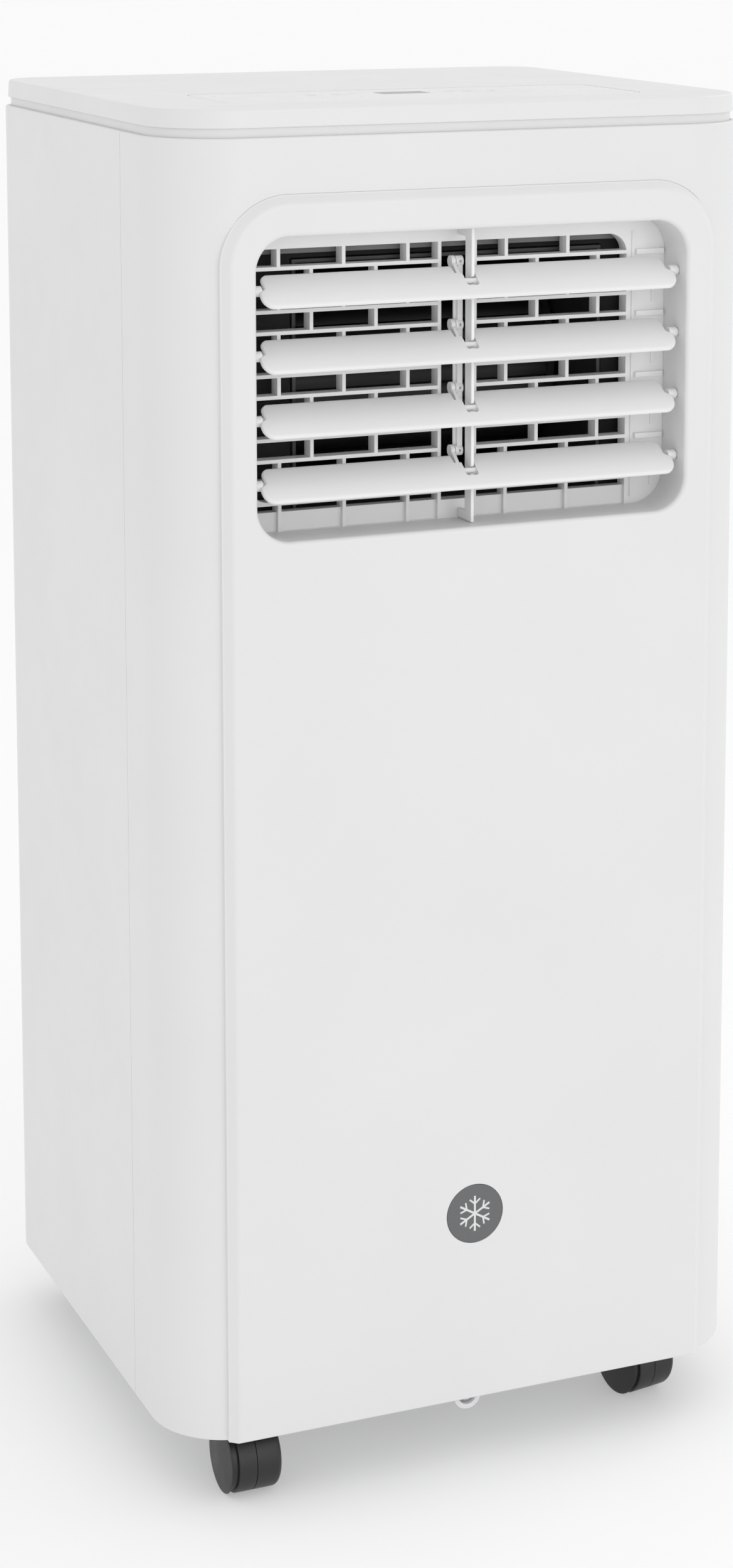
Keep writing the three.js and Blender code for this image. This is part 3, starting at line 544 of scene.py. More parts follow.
def outline(inset, front):
    """Half of the cabinet's plan outline, front or rear of the side seam, as an open row of points."""
    side = SIDE_X - inset
    if front:
        seam, radius, turn = shell_high.y, FRONT_RADIUS, 180
        centre_y = FRONT_Y + radius
    else:
        seam, radius, turn = rear_low.y, REAR_RADIUS, 0
        centre_y = REAR_Y - radius
    sign = -1 if front else 1
    first = arc(sign * (SIDE_X - radius), centre_y, radius - inset, turn, turn + 90)
    second = arc(-sign * (SIDE_X - radius), centre_y, radius - inset, turn + 90, turn + 180)
    return [(sign * side, seam)] + first + second + [(-sign * side, seam)]


def full_outline(inset):
    """The whole plan outline of the cabinet, as a closed row of points."""
    side = SIDE_X - inset
    radii = (FRONT_RADIUS - inset, REAR_RADIUS - inset)
    return rounded_rect(-side, side, FRONT_Y + inset, REAR_Y - inset, *radii)


def rounded_ends(z0, z1, radius):
    """Pairs of inset and height up a wall whose outer edges are rounded at both ends."""
    pairs = [(radius * (1 - sin(a)), z0 + radius * (1 - cos(a))) for a in quarter(5)]
    return pairs + [(inset, z1 + z0 - z) for inset, z in reversed(pairs)]


def wall(front):
    """One half of the cabinet wall, with its rims rounded."""
    inner = outline(WALL, front)[::-1]
    rims = rounded_ends(BOTTOM, TOP, SHELL_ROUNDING)
    return loft([in_plane(outline(inset, front) + inner, "Z", z) for inset, z in rims])


def panel_ring(grow, y, lift=0):
    """The outline of the raised panel, grown sideways and upwards, at a depth."""
    half = PANEL_HALF + grow
    radii = (0.5, PANEL_RADIUS + grow)
    return in_plane(rounded_rect(-half, half, BOTTOM + lift, PANEL_TOP + grow, *radii), "Y", y)


def shoulder_profile():
    """The panel's shoulder as growth and rise: a small fillet, a straight slope and a rounding."""
    reach = PROUD / tan(SHOULDER_SLOPE)
    reach += (SHOULDER_FILLET + SHOULDER_ROUND) * tan(SHOULDER_SLOPE / 2)
    turns = [SHOULDER_SLOPE * k / 6 for k in range(7)]
    profile = []
    for turn in turns:
        profile.append((reach - SHOULDER_FILLET * sin(turn), SHOULDER_FILLET * (1 - cos(turn))))
    for turn in reversed(turns):
        profile.append((SHOULDER_ROUND * sin(turn), PROUD - SHOULDER_ROUND * (1 - cos(turn))))
    return profile


def raised_panel():
    """The proud front panel, from inside the wall to its flat face."""
    profile = shoulder_profile()
    rings = [panel_ring(profile[0][0], FRONT_Y + WALL - 0.2)]
    for grow, rise in profile:
        lift = SHELL_ROUNDING * (1 - sqrt(max(0, 1 - (rise / PROUD) ** 4)))
        rings.append(panel_ring(grow, FRONT_Y - rise, lift))
    return loft(rings)


def shoulder_groove():
    """The fine groove round the foot of the shoulder."""
    reach = shoulder_profile()[0][0]
    depths = (FRONT_Y - 1, FRONT_Y + SHOULDER_GROOVE)
    outer = loft([panel_ring(reach + SHOULDER_GROOVE, y, -2) for y in depths])
    inner = loft([panel_ring(reach, y, -4) for y in (FRONT_Y - 2, FRONT_Y + 2)])
    return cut(outer, inner)


def opening_ring(grow, y):
    half = OPENING_HALF + grow
    low, high = OPENING_BOTTOM - grow, OPENING_TOP + grow
    return in_plane(rounded_rect(-half, half, low, high, OPENING_RADIUS + grow), "Y", y)


def opening_cutter():
    """The recess of the louvre, flared at the face by the rounding of its lip."""
    rings = [opening_ring(OPENING_LIP + 1, FACE_Y - 1)]
    for angle in quarter(8):
        grow = OPENING_LIP * (1 - sin(angle))
        rings.append(opening_ring(grow, FACE_Y + OPENING_LIP * (1 - cos(angle))))
    rings.append(opening_ring(0, GRILLE_FRONT + 1))
    return loft(rings)


def front_shell():
    recess = loft([opening_ring(OPENING_WALL, y) for y in (FRONT_Y + 1, GRILLE_FRONT - GAP)])
    bearings = []
    for axis in BLADE_AXES:
        for side in (-1, 1):
            ends = sorted((side * (OPENING_HALF - 1), side * (OPENING_HALF + OPENING_WALL + 1)))
            bearings.append(cylinder("X", axis.y, axis.z, *ends, END_PIN + GAP, 24))
    badge_seat = cylinder("Y", 0, BADGE_Z, FACE_Y - 1, FACE_Y + 1.2, BADGE_RADIUS + GAP, 96)
    body = union(cut(wall(True), shoulder_groove()), raised_panel(), recess)
    body = cut(body, opening_cutter(), badge_seat)
    piece("front_shell_fine", cut(body, *bearings), "white", "front_shell")


def round_hole(node, clearance):
    """A hole through the rear wall for a round fitting."""
    low, high = span(node)
    place = middle(node)
    return cylinder("Y", place.x, place.z, *REAR_HOLE, (high.x - low.x) / 2 + clearance, 96)


def rear_shell():
    tools = []
    for node in ("upper_intake_grille", "lower_intake_grille"):
        hole = node_rect(*span(node), "Y", INTAKE_CORNER, INTAKE_GAP, steps=8)
        tools.append(prism(hole, "Y", *REAR_HOLE))
    tools.append(round_hole("exhaust_collar", EXHAUST_OUTER + 0.8 - span("exhaust_collar")[1].x))
    for node in ("upper_drain_cap", "base_drain_cap", "cord_gland"):
        tools.append(round_hole(node, 0.4))
    for x, z in SCREW_PLACES:
        tools.append(cylinder("Y", x, z, REAR_Y - SCREW_SEAT_DEPTH, REAR_Y + 1, SCREW_SEAT, 48))
    piece("rear_shell_fine", cut(wall(False), *tools), "white", "rear_shell")


def screw_head(radius, height):
    """A domed screw head about Z with its underside at zero, with a cross recess."""
    rim = height * 0.35
    dome = [(0, 0), (radius, 0), (radius, rim)]
    dome += [(radius * cos(a), height * (0.35 + 0.65 * sin(a))) for a in (0.5, 0.9, 1.25)]
    arm, half = radius * 0.55, radius * 0.11
    bars = [box(-u, u, -v, v, rim, height + 1) for u, v in ((arm, half), (half, arm))]
    return cut(lathe(dome + [(0, height)], 40), union(*bars))


def facing(direction, x, y, z):
    """The move that turns a piece made about Z so that its top faces along Y, at a place."""
    return shift(x, y, z) @ turn_about("X", radians(-90 * direction))


def rear_screws():
    heads = []
    for x, z in SCREW_PLACES:
        place = facing(1, x, REAR_Y - SCREW_SEAT_DEPTH + 0.1, z)
        heads.append(moved(screw_head(SCREW_HEAD, SCREW_SEAT_DEPTH - 0.3), place))
    piece("rear_screws", joined(*heads), "steel", bevel=0.08)


def base_pan():
    low, high = span("base_pan")
    inset = SIDE_X - high.x
    tray = cut(
        prism(full_outline(inset), "Z", low.z, high.z),
        prism(full_outline(inset + PAN_WALL), "Z", low.z + PAN_FLOOR, high.z + 1),
    )
    stems = [joint_place(f"{name}_turn") for name in CASTERS]
    sockets = [cylinder("Z", p.x, p.y, low.z, SOCKET_TOP, SOCKET_RADIUS, 48) for p in stems]
    bores = [cylinder("Z", p.x, p.y, low.z - 1, SOCKET_TOP + 1, STEM_RADIUS + 0.4, 48) for p in stems]
    body = cut(union(tray, joined(*sockets)), *bores)
    piece("base_pan_fine", body, "grey", "base_pan", bevel=0.5)


def top_lid():
    top = lid_high.z
    profile = [(LID_INSET + 0.5, LID_UNDERSIDE), (LID_INSET + 0.15, LID_UNDERSIDE + 0.15)]
    profile.append((LID_INSET, LID_UNDERSIDE + 0.5))
    for angle in quarter(6):
        inset = LID_INSET + LID_TAPER + LID_ROUNDING * (1 - cos(angle))
        profile.append((inset, top - LID_ROUNDING * (1 - sin(angle))))
    slab = loft([in_plane(full_outline(inset), "Z", z) for inset, z in profile])
    neck_inset = WALL + GAP
    neck = cut(
        prism(full_outline(neck_inset), "Z", lid_low.z, LID_UNDERSIDE + 1),
        prism(full_outline(neck_inset + LID_WALL), "Z", lid_low.z - 1, LID_UNDERSIDE + 2),
    )
    pocket = node_rect(overlay_low, overlay_high, "Z", OVERLAY_RADIUS + POCKET_GAP, POCKET_GAP)
    low, high = span("display_board")
    space = box(low.x - 10, high.x + 10, low.y - 4, high.y + 4, LID_UNDERSIDE - 1, top - LID_WALL)
    body = cut(union(slab, neck), prism(pocket, "Z", top - OVERLAY_POCKET, top + 1), space)
    piece("top_lid_fine", body, "white", "top_lid")


def window_outline(grow):
    return node_rect(window_low, window_high, "Z", WINDOW_RADIUS + grow, grow, steps=8)


def control_panel():
    level, top = overlay_low.z, overlay_high.z
    film = prism(node_rect(overlay_low, overlay_high, "Z", OVERLAY_RADIUS), "Z", level, top)
    film = cut(film, prism(window_outline(GAP), "Z", level - 1, top + 1))
    piece("control_panel_film", film, "overlay", "control_panel", bevel=0.12)
    pane = prism(window_outline(0), "Z", window_low.z, window_high.z)
    piece("display_window_pane", pane, "window", "display_window", bevel=0.15)


def ring_mark(x, y, radius, width, level, height):
    outer = cylinder("Z", x, y, level, level + height, radius, 40)
    return cut(outer, cylinder("Z", x, y, level - 1, level + height + 1, radius - width, 40))


def panel_prints():
    """Generic marks on the film: minus and plus beside the window, rings and bars for the other keys."""
    level, height = overlay_high.z - 0.01, 0.05
    top = level + height
    y = (window_low.y + window_high.y) / 2
    line = 0.6
    marks = []
    minus_x, plus_x = window_low.x - KEY_OFFSET, window_high.x + KEY_OFFSET
    for x in (minus_x, plus_x):
        marks.append(box(x - 2.4, x + 2.4, y - line / 2, y + line / 2, level, top))
    for side in (-1, 1):
        stroke = sorted((y + side * line, y + side * 2.4))
        marks.append(box(plus_x - line / 2, plus_x + line / 2, *stroke, level, top))
    for k in (2, 3):
        for side in (-1, 1):
            x = (window_low.x + window_high.x) / 2 + side * (KEY_OFFSET * k + 8)
            marks.append(ring_mark(x, y, 2.6, 0.5, level, height))
            marks.append(box(x - 3.4, x + 3.4, y - 7.6, y - 7.6 + line, level, top))
    for k in range(5):
        marks.append(cylinder("Z", window_high.x + KEY_OFFSET + 4 * (k - 2), y + 8, level, top, 0.45, 20))
    piece("panel_prints", joined(*marks), "print")


def badge():
    """The round enamel badge, with a plain snowflake that stands just proud of it."""
    face = FACE_Y + BADGE_RELIEF
    disc = cylinder("Y", 0, BADGE_Z, face, span("badge")[1].y, BADGE_RADIUS, 96)
    piece("badge_disc", disc, "badge", "badge", bevel=0.3, segments=3)
    turns = [shift(0, 0, BADGE_Z) @ turn_about("Y", pi / 3 * k) for k in range(6)]
    spokes = [moved(box(-0.55, 0.55, FACE_Y, face + 0.3, -9.4, 9.4), turn) for turn in turns[:3]]
    for turn in turns:
        for side in (-1, 1):
            fork = shift(0, 0, 5.2) @ turn_about("Y", side * pi / 3.6)
            spokes.append(moved(box(-0.45, 0.45, FACE_Y, face + 0.3, -0.3, 3.8), turn @ fork))
    piece("badge_snowflake", union(*spokes), "badge_light", bevel=0.06)


# ---------------------------------------------------------------- outlet grille


def cell_edges(row):
    """Where a row's ribs stand: half a pitch apart from one row to the next, like brickwork."""
    offset = 0.5 if row % 2 == 0 else 1
    right = [RIB_OFFSET + RIB_PITCH * (k + offset) for k in range(3)]
    inside = [x for x in right if x < GRILLE_RIGHT]
    left = [-x for x in reversed(right)]
    return [GRILLE_LEFT, *left, -RIB_OFFSET, RIB_OFFSET, *inside, GRILLE_RIGHT]


def row_cells(row, back, low, high):
    """A row's cells on both sides of the middle slot, as cutters down to a depth."""
    half = GRILLE_RIB / 2
    edges = cell_edges(row)
    return [
        box(left + half, right - half, GRILLE_FRONT - 3, back, low, high)
        for left, right in zip(edges, edges[1:])
        if left != -RIB_OFFSET and right - left > 2 * GRILLE_RIB
    ]


def open_cells():
    """The cells of every row but the lowest, inside a field with rounded corners."""
    half = GRILLE_RIB / 2
    cells = []
    for row in range(1, GRILLE_ROWS):
        low = GRILLE_FIRST_ROW + row * GRILLE_ROW_PITCH + half
        cells += row_cells(row, GRILLE_BACK + 1, low, low + GRILLE_ROW_PITCH - GRILLE_RIB)
    sides = (GRILLE_LEFT + half, GRILLE_RIGHT - half)
    ends = (GRILLE_FIRST_ROW + GRILLE_ROW_PITCH + half, GRILLE_TOP_ROW - half)
    field = prism(
        rounded_rect(*sides, *ends, GRILLE_CORNER, steps=12), "Y", GRILLE_FRONT - 4, GRILLE_BACK + 2
    )
    return combined(joined(*cells), field, "INTERSECT")


def middle_slot():
    half = GRILLE_RIB / 2
    side = RIB_OFFSET - half
    return box(-side, side, GRILLE_FRONT - 3, GRILLE_BACK + 1, LEDGE_TOP, GRILLE_TOP_ROW - half)


def outlet_grille():
    """The grille; its lowest row stands on the recess floor, with a ledge set back between the ribs."""
    front = GRILLE_FRONT
    edge = node_rect(grille_low, grille_high, "Y", OPENING_RADIUS)
    sides = (GRILLE_LEFT - GRILLE_RIB, GRILLE_RIGHT + GRILLE_RIB)
    ends = (GRILLE_FIRST_ROW - GRILLE_RIB, GRILLE_TOP_ROW + GRILLE_RIB)
    body = union(
        prism(edge, "Y", front, front + GRILLE_FLANGE),
        prism(rounded_rect(*sides, *ends, GRILLE_CORNER), "Y", front + 1, GRILLE_BACK),
    )
    ribs = []
    for row in (3, 6, 9, 12):
        z = GRILLE_FIRST_ROW + row * GRILLE_ROW_PITCH
        ribs.append(box(GRILLE_RIGHT + 4, OPENING_HALF - 1, front - 1.7, front + 1, z - 1.3, z + 1.3))
        ribs.append(box(RIDGE_X, RIDGE_X + 1.2, front - 1, front + 1, z - 26, z - 6))
    step = GRILLE_RIGHT + GRILLE_RIB
    ribs.append(box(step, step + 0.8, front - 0.9, front + 1, GRILLE_FIRST_ROW, GRILLE_TOP_ROW))
    top = GRILLE_FIRST_ROW + GRILLE_ROW_PITCH - GRILLE_RIB / 2
    body = cut(body, open_cells())
    body = cut(body, *row_cells(0, front + LEDGE_DEPTH, OPENING_BOTTOM + 0.1, top))
    body = cut(body, middle_slot(), *row_cells(0, GRILLE_BACK + 1, LEDGE_TOP, top))
    piece("outlet_grille_fine", union(body, joined(*ribs)), "grille", "outlet_grille", bevel=0.3)


def louvre_support():
    """The upright bar, footed on the grille at both ends, with a notch for each blade's pin."""
    low, high = span("louvre_support")
    axis_y = BLADE_AXES[0].y
    front = axis_y - BAR_FRONT
    corner = BAR_FRONT
    back = front + BAR_DEPTH
    outline = [(high.y, low.z), (high.y, low.z + BAR_FOOT), (back, low.z + BAR_FOOT)]
    outline += [(back, high.z - BAR_FOOT), (high.y, high.z - BAR_FOOT), (high.y, high.z), (front, high.z)]
    for axis in BLADE_AXES:
        reach = BAR_NOTCH + corner
        outline += arc(front + corner, axis.z + reach, corner, 180, 270, 6)
        outline += arc(axis_y, axis.z, BAR_NOTCH, 90, -90, 12)
        outline += arc(front + corner, axis.z - reach, corner, 90, 180, 6)
    outline.append((front, low.z))
    bar = prism(outline, "X", BAR_LEFT, BAR_RIGHT)
    piece("louvre_support_bar", bar, "grille", "louvre_support", bevel=0.45, segments=3)


def corner_bow(radius, across):
    """How far a round corner stands out, at a distance across it."""
    return sqrt(max(0, radius**2 - across**2)) - radius


def blade_half_length(chord):
    """Half of a blade's length at a distance behind its axis: two rounded corners and a step between."""
    front, rear = BLADE_FRONT_CORNER, BLADE_REAR_CORNER
    if chord < front - BLADE_FRONT:
        return BLADE_HALF + corner_bow(front, front - BLADE_FRONT - chord)
    if chord > BLADE_REAR - rear:
        return BLADE_REAR_HALF + corner_bow(rear, chord - BLADE_REAR + rear)
    blend = min(1, max(0, (chord + 3.2) / 3.2))
    return BLADE_HALF + (BLADE_REAR_HALF - BLADE_HALF) * blend * blend * (3 - 2 * blend)


def blade_surface(chord):
    """The blade's lower and upper height at a distance behind its axis."""
    half = BLADE_THICKNESS / 2
    t = (chord + BLADE_FRONT) / (BLADE_FRONT + BLADE_REAR)
    first, middle, last = (1 - t) ** 2, 2 * t * (1 - t), t * t
    low = first * (-half - BLADE_CROWN / 2) + middle * (BLADE_CROWN - half) + last * -half
    high = first * (half - BLADE_CROWN / 2) + middle * (BLADE_CROWN + half + 0.6) + last * half
    return low, high


def blade_vane():
    chords = [-BLADE_FRONT + BLADE_FRONT_CORNER * (1 - cos(angle)) for angle in quarter(6)]
    chords += [-4.2, -3.2, -2.4, -1.6, -0.8, 0, 2, 3.6]
    chords += [BLADE_REAR - BLADE_REAR_CORNER * (1 - sin(angle)) for angle in quarter(6)]
    rings = []
    for chord in chords:
        low, high = blade_surface(chord)
        edge = min(chord + BLADE_FRONT, BLADE_REAR - chord)
        pinch = sqrt(max(0.12, 1 - max(0, 1 - edge) ** 2))
        centre, half = (low + high) / 2, (high - low) / 2 * pinch
        length = blade_half_length(chord)
        section = rounded_rect(-length, length, centre - half, centre + half, half * 0.96, steps=5)
        rings.append(in_plane(section, "Y", chord))
    return loft(rings)


def louvre_blade(index):
    """A blade with its end knobs and pins, its centre pin in a notch, and the arm to the link rod."""
    arm_turn = ARM_RISE - BLADE_TILT
    boss_y, boss_z = ARM_REACH * cos(arm_turn), ARM_REACH * sin(arm_turn)
    along = degrees(atan2(boss_z, boss_y))
    strap = arc(boss_y, boss_z, ARM_STRAP, along - 90, along + 90, 10)
    strap += arc(0, 0, ARM_STRAP, along + 90, along + 270, 10)
    notch = rounded_rect(-NOTCH_HALF, NOTCH_HALF, NOTCH_FRONT, BLADE_REAR + 1, 1.4, 0.2, steps=6)
    blade = cut(blade_vane(), prism(notch, "Z", -10, 10))
    blade = cut(blade, box(ARM_LEFT - 0.8, 0, 4, BLADE_REAR + 1, -9, 9))
    reach = END_PIN_REACH - KNOB_REACH
    knob = [(0, -5), (KNOB_RADIUS, -5), (KNOB_RADIUS, -0.8), (KNOB_RADIUS - 0.3, -0.25)]
    knob += [(END_PIN + 0.2, 0), (END_PIN, 0.1), (END_PIN, reach - 0.2), (END_PIN - 0.3, reach), (0, reach)]
    knobs = []
    for side in (-1, 1):
        place = shift(side * KNOB_REACH, 0, 0) @ turn_about("Y", side * pi / 2)
        knobs.append(moved(lathe(knob, 32), place))
    blade = union(
        blade,
        joined(*knobs),
        cylinder("X", 0, 0, ARM_LEFT + 1, NOTCH_HALF + 1, CENTRE_PIN, 24),
        prism(strap, "X", ARM_LEFT + 0.2, ARM_RIGHT - 0.2),
        cylinder("X", boss_y, boss_z, ARM_LEFT, ARM_RIGHT, ARM_BOSS, 32),
        cylinder("X", boss_y, boss_z, ARM_RIGHT - 1, ROD_RIGHT, ARM_PIN, 20),
    )
    moved(blade, shift(*BLADE_AXES[index - 1]) @ turn_about("X", BLADE_TILT))
    name, node, body = f"louvre_blade_fine_{index}", f"louvre_blade_{index}", f"louvre_{index}"
    piece(name, blade, "blade", node, body=body, bevel=0.22, crease=40)


def link_rod():
    """A slim angle section that runs behind the bar, with an eye for each arm."""
    y = BLADE_AXES[0].y + ARM_REACH * cos(ARM_RISE)
    eyes = [axis.z + ARM_REACH * sin(ARM_RISE) for axis in BLADE_AXES]
    low, high = eyes[-1], eyes[0]
    rod = union(
        box(ROD_LEFT + 1.2, ROD_RIGHT, y - 1.5, y + 1.5, low, high),
        box(ROD_LEFT, ROD_RIGHT, y + 0.8, y + 1.9, low, high),
        joined(*(cylinder("X", y, z, ROD_LEFT, ROD_RIGHT, ROD_EYE, 32) for z in eyes)),
    )
    rod = cut(rod, *(cylinder("X", y, z, ROD_LEFT - 1, ROD_RIGHT + 1, ARM_PIN + 0.35, 20) for z in eyes))
    rod = cut(rod, *(box(-2.3, -1.1, y - 4, y - 1.4, z - 0.7, z + 0.7) for z in eyes))
    piece("louvre_link_rod_fine", rod, "grille", "louvre_link_rod", body="link_rod", bevel=0.2)


# ---------------------------------------------------------------- casters


def caster_place(name):
    stem = joint_place(f"{name}_turn")
    return shift(stem.x, stem.y, 0) @ turn_about("Z", radians(CASTER_TURNS.get(name, 0)))


def wheel_profile(grooved):
    """Radius and distance from the caster's middle, from the hub's outer end round to its inner end."""
    profile = [(0, WHEEL_OUTER + 0.5)]
    profile += [(r, WHEEL_OUTER + 0.5 - 0.9 * (r / 16) ** 2) for r in (6, 11, 14.5)]
    if grooved:
        profile += [(16.2, WHEEL_OUTER - 0.4), (17.1, WHEEL_OUTER - 0.5), (17.65, WHEEL_OUTER - 0.7)]
        profile += [(17.75, WHEEL_OUTER - 0.9), (17.3, WHEEL_OUTER - 1.1), (16.3, WHEEL_OUTER - 1.15)]
        profile += [(16.3, 9.9), (17.2, 9.8), (17.75, 9.5), (WHEEL_RADIUS, 8.9)]
    else:
        edge = 3.2
        for angle in quarter(7):
            radius = WHEEL_RADIUS - edge * (1 - sin(angle))
            profile.append((radius, WHEEL_OUTER - 0.3 - edge * (1 - cos(angle))))
    rim, bore = WHEEL_RADIUS - 2.2, AXLE_RADIUS + GAP
    profile += [(WHEEL_RADIUS, WHEEL_SEAM), (rim, WHEEL_SEAM), (rim, 2)]
    return profile + [(bore, 2), (bore, 10.5), (0, 10.5)]


def caster(name):
    """A swivelling hood on its stem, an axle on a web, and a wheel on each side of the web."""
    place = caster_place(name)
    swivel = f"{name}_swivel"
    hood = arc(CASTER_TRAIL, WHEEL_RADIUS, HOOD_OUTER, 62, HOOD_END, 24)
    hood += arc(CASTER_TRAIL, WHEEL_RADIUS, HOOD_INNER, HOOD_END, 62, 24)
    room = HOOD_HALF + 1
    stem = union(
        cylinder("Z", 0, 0, 30, span("base_pan")[0].z - 2 * GAP, 6.5, 40),
        cylinder("Z", 0, 0, 30, span(f"{name}_housing")[1].z, STEM_RADIUS, 40),
    )
    stem = cut(stem, cylinder("X", CASTER_TRAIL, WHEEL_RADIUS, -room, room, HOOD_INNER - 0.1, 96))
    housing = union(
        prism(hood, "X", -HOOD_HALF, HOOD_HALF),
        stem,
        cylinder("X", CASTER_TRAIL, WHEEL_RADIUS, -1.5, 1.5, WHEEL_RADIUS - 2.8, 64),
        box(-WEB_HALF, WEB_HALF, 1, CASTER_TRAIL, WHEEL_RADIUS + 8, HOOD_OUTER + WHEEL_RADIUS - 1.8),
    )
    housing = cut(housing, cylinder("X", CASTER_TRAIL, WHEEL_RADIUS, -10, 10, AXLE_RADIUS + GAP, 32))
    piece(f"{name}_hood", moved(housing, place), "black", f"{name}_housing", body=swivel, bevel=0.3)
    axle = cylinder("X", CASTER_TRAIL, WHEEL_RADIUS, -9.5, 9.5, AXLE_RADIUS, 32)
    piece(f"{name}_pin", moved(axle, place), "steel", f"{name}_axle", body=swivel, bevel=0.3)
    for side, letter in ((-1, "a"), (1, "b")):
        outward = place.to_3x3() @ Vector((side, 0, 0))
        wheel = lathe(wheel_profile(outward.x < 0), 96)
        wheel = moved(wheel, place @ shift(0, CASTER_TRAIL, WHEEL_RADIUS) @ turn_about("Y", side * pi / 2))
        roller = f"{name}_roller_{letter}"
        piece(roller, wheel, "black", f"{name}_wheel_{letter}", body=roller)


def bottom_lug():
    low, high = span("bottom_lug")
    radius = high.x
    centre_z = low.z + radius
    outline = arc(0, centre_z, radius, 180, 360, 32) + [(radius, high.z), (-radius, high.z)]
    seat = lathe([(0, -1), (5.2, -1), (5, 0.2), (4.6, 2.4), (0, 2.6)], 48)
    bore = cylinder("Y", 0, centre_z, low.y - 1, high.y + 1, 2.3, 32)
    tab = cut(prism(outline, "Y", low.y, high.y), moved(seat, facing(1, 0, low.y, centre_z)), bore)
    piece("bottom_lug_tab", tab, "tab", "bottom_lug", bevel=0.6, segments=3)
    head = screw_head(4.3, 1.7)
    shank = cylinder("Z", 0, 0, -6.5, 0.4, 1.9, 24)
    screw = moved(union(head, shank), facing(-1, 0, low.y + 2.2, centre_z))
    piece("bottom_lug_screw_fine", screw, "steel", "bottom_lug_screw", bevel=0.08)


# ---------------------------------------------------------------- rear fittings


def intake(name):
    low, high = span(f"{name}_intake_grille")
    plate = prism(rounded_rect(low.x, high.x, low.z, high.z, INTAKE_CORNER, steps=8), "Y", low.y, high.y)
    outer = INTAKE_GAP + high.x
    height = high.z - low.z + 2 * INTAKE_GAP
    rows = int((height - 2 * SLOT_BORDER) // SLOT_PITCH)
    column = 2 * (outer - SLOT_BORDER) / SLOT_COLUMNS
    first = (low.z + high.z - (rows - 1) * SLOT_PITCH) / 2
    slots = []
    for row in range(rows):
        z = first + row * SLOT_PITCH - SLOT_HEIGHT / 2
        for k in range(SLOT_COLUMNS):
            x = -outer + SLOT_BORDER + k * column + SLOT_MULLION / 2
            slot = rounded_rect(x, x + column - SLOT_MULLION, z, z + SLOT_HEIGHT, 3.2, steps=6)
            slots.append(prism(slot, "Y", low.y - 1, high.y + 1))
    grip = rounded_rect(-16, 16, high.z - 6, high.z + 6, 5, steps=8)
    body = cut(plate, *slots, prism(grip, "Y", high.y - 2.5, high.y + 1))
    piece(f"{name}_intake_panel", body, "white", f"{name}_intake_grille", body=f"{name}_intake", bevel=0.45)
    dressed(frame["nodes"][f"{name}_filter"], "mesh")


def ring_wall(outer, inner, back, front):
    """A short round tube about Z, with softened rims."""
    outside, inside = outer - 0.4, inner + 0.4
    low, high = back + 0.4, front - 0.4
    profile = [(inside, back), (outside, back), (outer, low), (outer, high)]
    profile += [(outside, front), (inside, front), (inner, high), (inner, low)]
    return lathe(profile, 128, closed=True)


def exhaust_collar():
    """The hose collar, with its flange, a ring inside and a finger guard."""
    low, high = span("exhaust_collar")
    depth = high.y - low.y
    inner = EXHAUST_OUTER - 3
    body = union(
        ring_wall(EXHAUST_OUTER, inner, -depth, 0),
        ring_wall(high.x, inner + 1, -PROUD + GAP, -PROUD + GAP + 2.2),
        ring_wall(inner + 1, inner - 2, -12, -10),
    )
    guard = [ring_wall(radius + 1, radius - 1, -depth + 1, -depth + 4) for radius in (14, 30, 46)]
    spokes = []
    for k in range(4):
        spoke = box(-inner - 1, inner + 1, -1, 1, -depth + 1.5, -depth + 3.5)
        spokes.append(moved(spoke, turn_about("Z", pi / 4 * k)))
    body = moved(union(body, joined(*guard), *spokes), facing(1, 0, high.y, middle("exhaust_collar").z))
    piece("exhaust_collar_fine", body, "white", "exhaust_collar", bevel=0.15)


def drain_cap(name):
    """A screw cap whose grip is fluted like a bottle cap."""
    low, high = span(name)
    centre = middle(name)
    radius = (high.x - low.x) / 2
    flutes = 20
    outline = []
    for angle in (2 * pi * k / (flutes * 6) for k in range(flutes * 6)):
        wave = radius - 1.7 + 0.22 * cos(flutes * angle)
        outline.append((centre.x + wave * cos(angle), centre.z + wave * sin(angle)))
    flange = cylinder("Y", centre.x, centre.z, low.y, REAR_Y + 2, radius, 64)
    cap = union(flange, prism(outline, "Y", REAR_Y + 1, high.y))
    piece(f"{name}_fine", cap, "grey", name, bevel=0.35)


def cord_gland():
    profile = [(4, 0), (9, 0), (9, 3.3), (8.4, 3.9), (6.6, 4.1), (6, 4.8), (5.8, 6), (5.2, 6.3), (4, 6.3)]
    centre = middle("cord_gland")
    place = facing(1, centre.x, span("cord_gland")[0].y, centre.z)
    piece("cord_gland_fine", moved(lathe(profile, 64, closed=True), place), "rubber", "cord_gland")


# ---------------------------------------------------------------- machinery inside


def casing_body(name, inset, half):
    """A fan casing's round belly and the duct that leaves it, as one solid."""
    y, z, radius = FANS[name][:3]
    mouth, low, high = FANS[name][4:]
    mouth_y = mouth + copysign(inset, mouth - y)
    duct = box(-half, half, min(y, mouth_y), max(y, mouth_y), low + inset, high - inset)
    return union(duct, cylinder("X", y, z, -half, half, radius + 10 - inset, 96))


def fan_casing(name, look):
    y, z, radius, half_width = FANS[name][:4]
    side = half_width + 4
    inlet = cylinder("X", y, z, side - 1, side + 3, radius - 12, 96)
    shaft_hole = cylinder("X", y, z, -side - 3, -side + 1, 8, 48)
    body = cut(cut(casing_body(name, 0, side + 2), casing_body(name, 2, side)), inlet, shaft_hole)
    piece(f"{name}_scroll_fine", body, look, f"{name}_scroll", bevel=0.4)


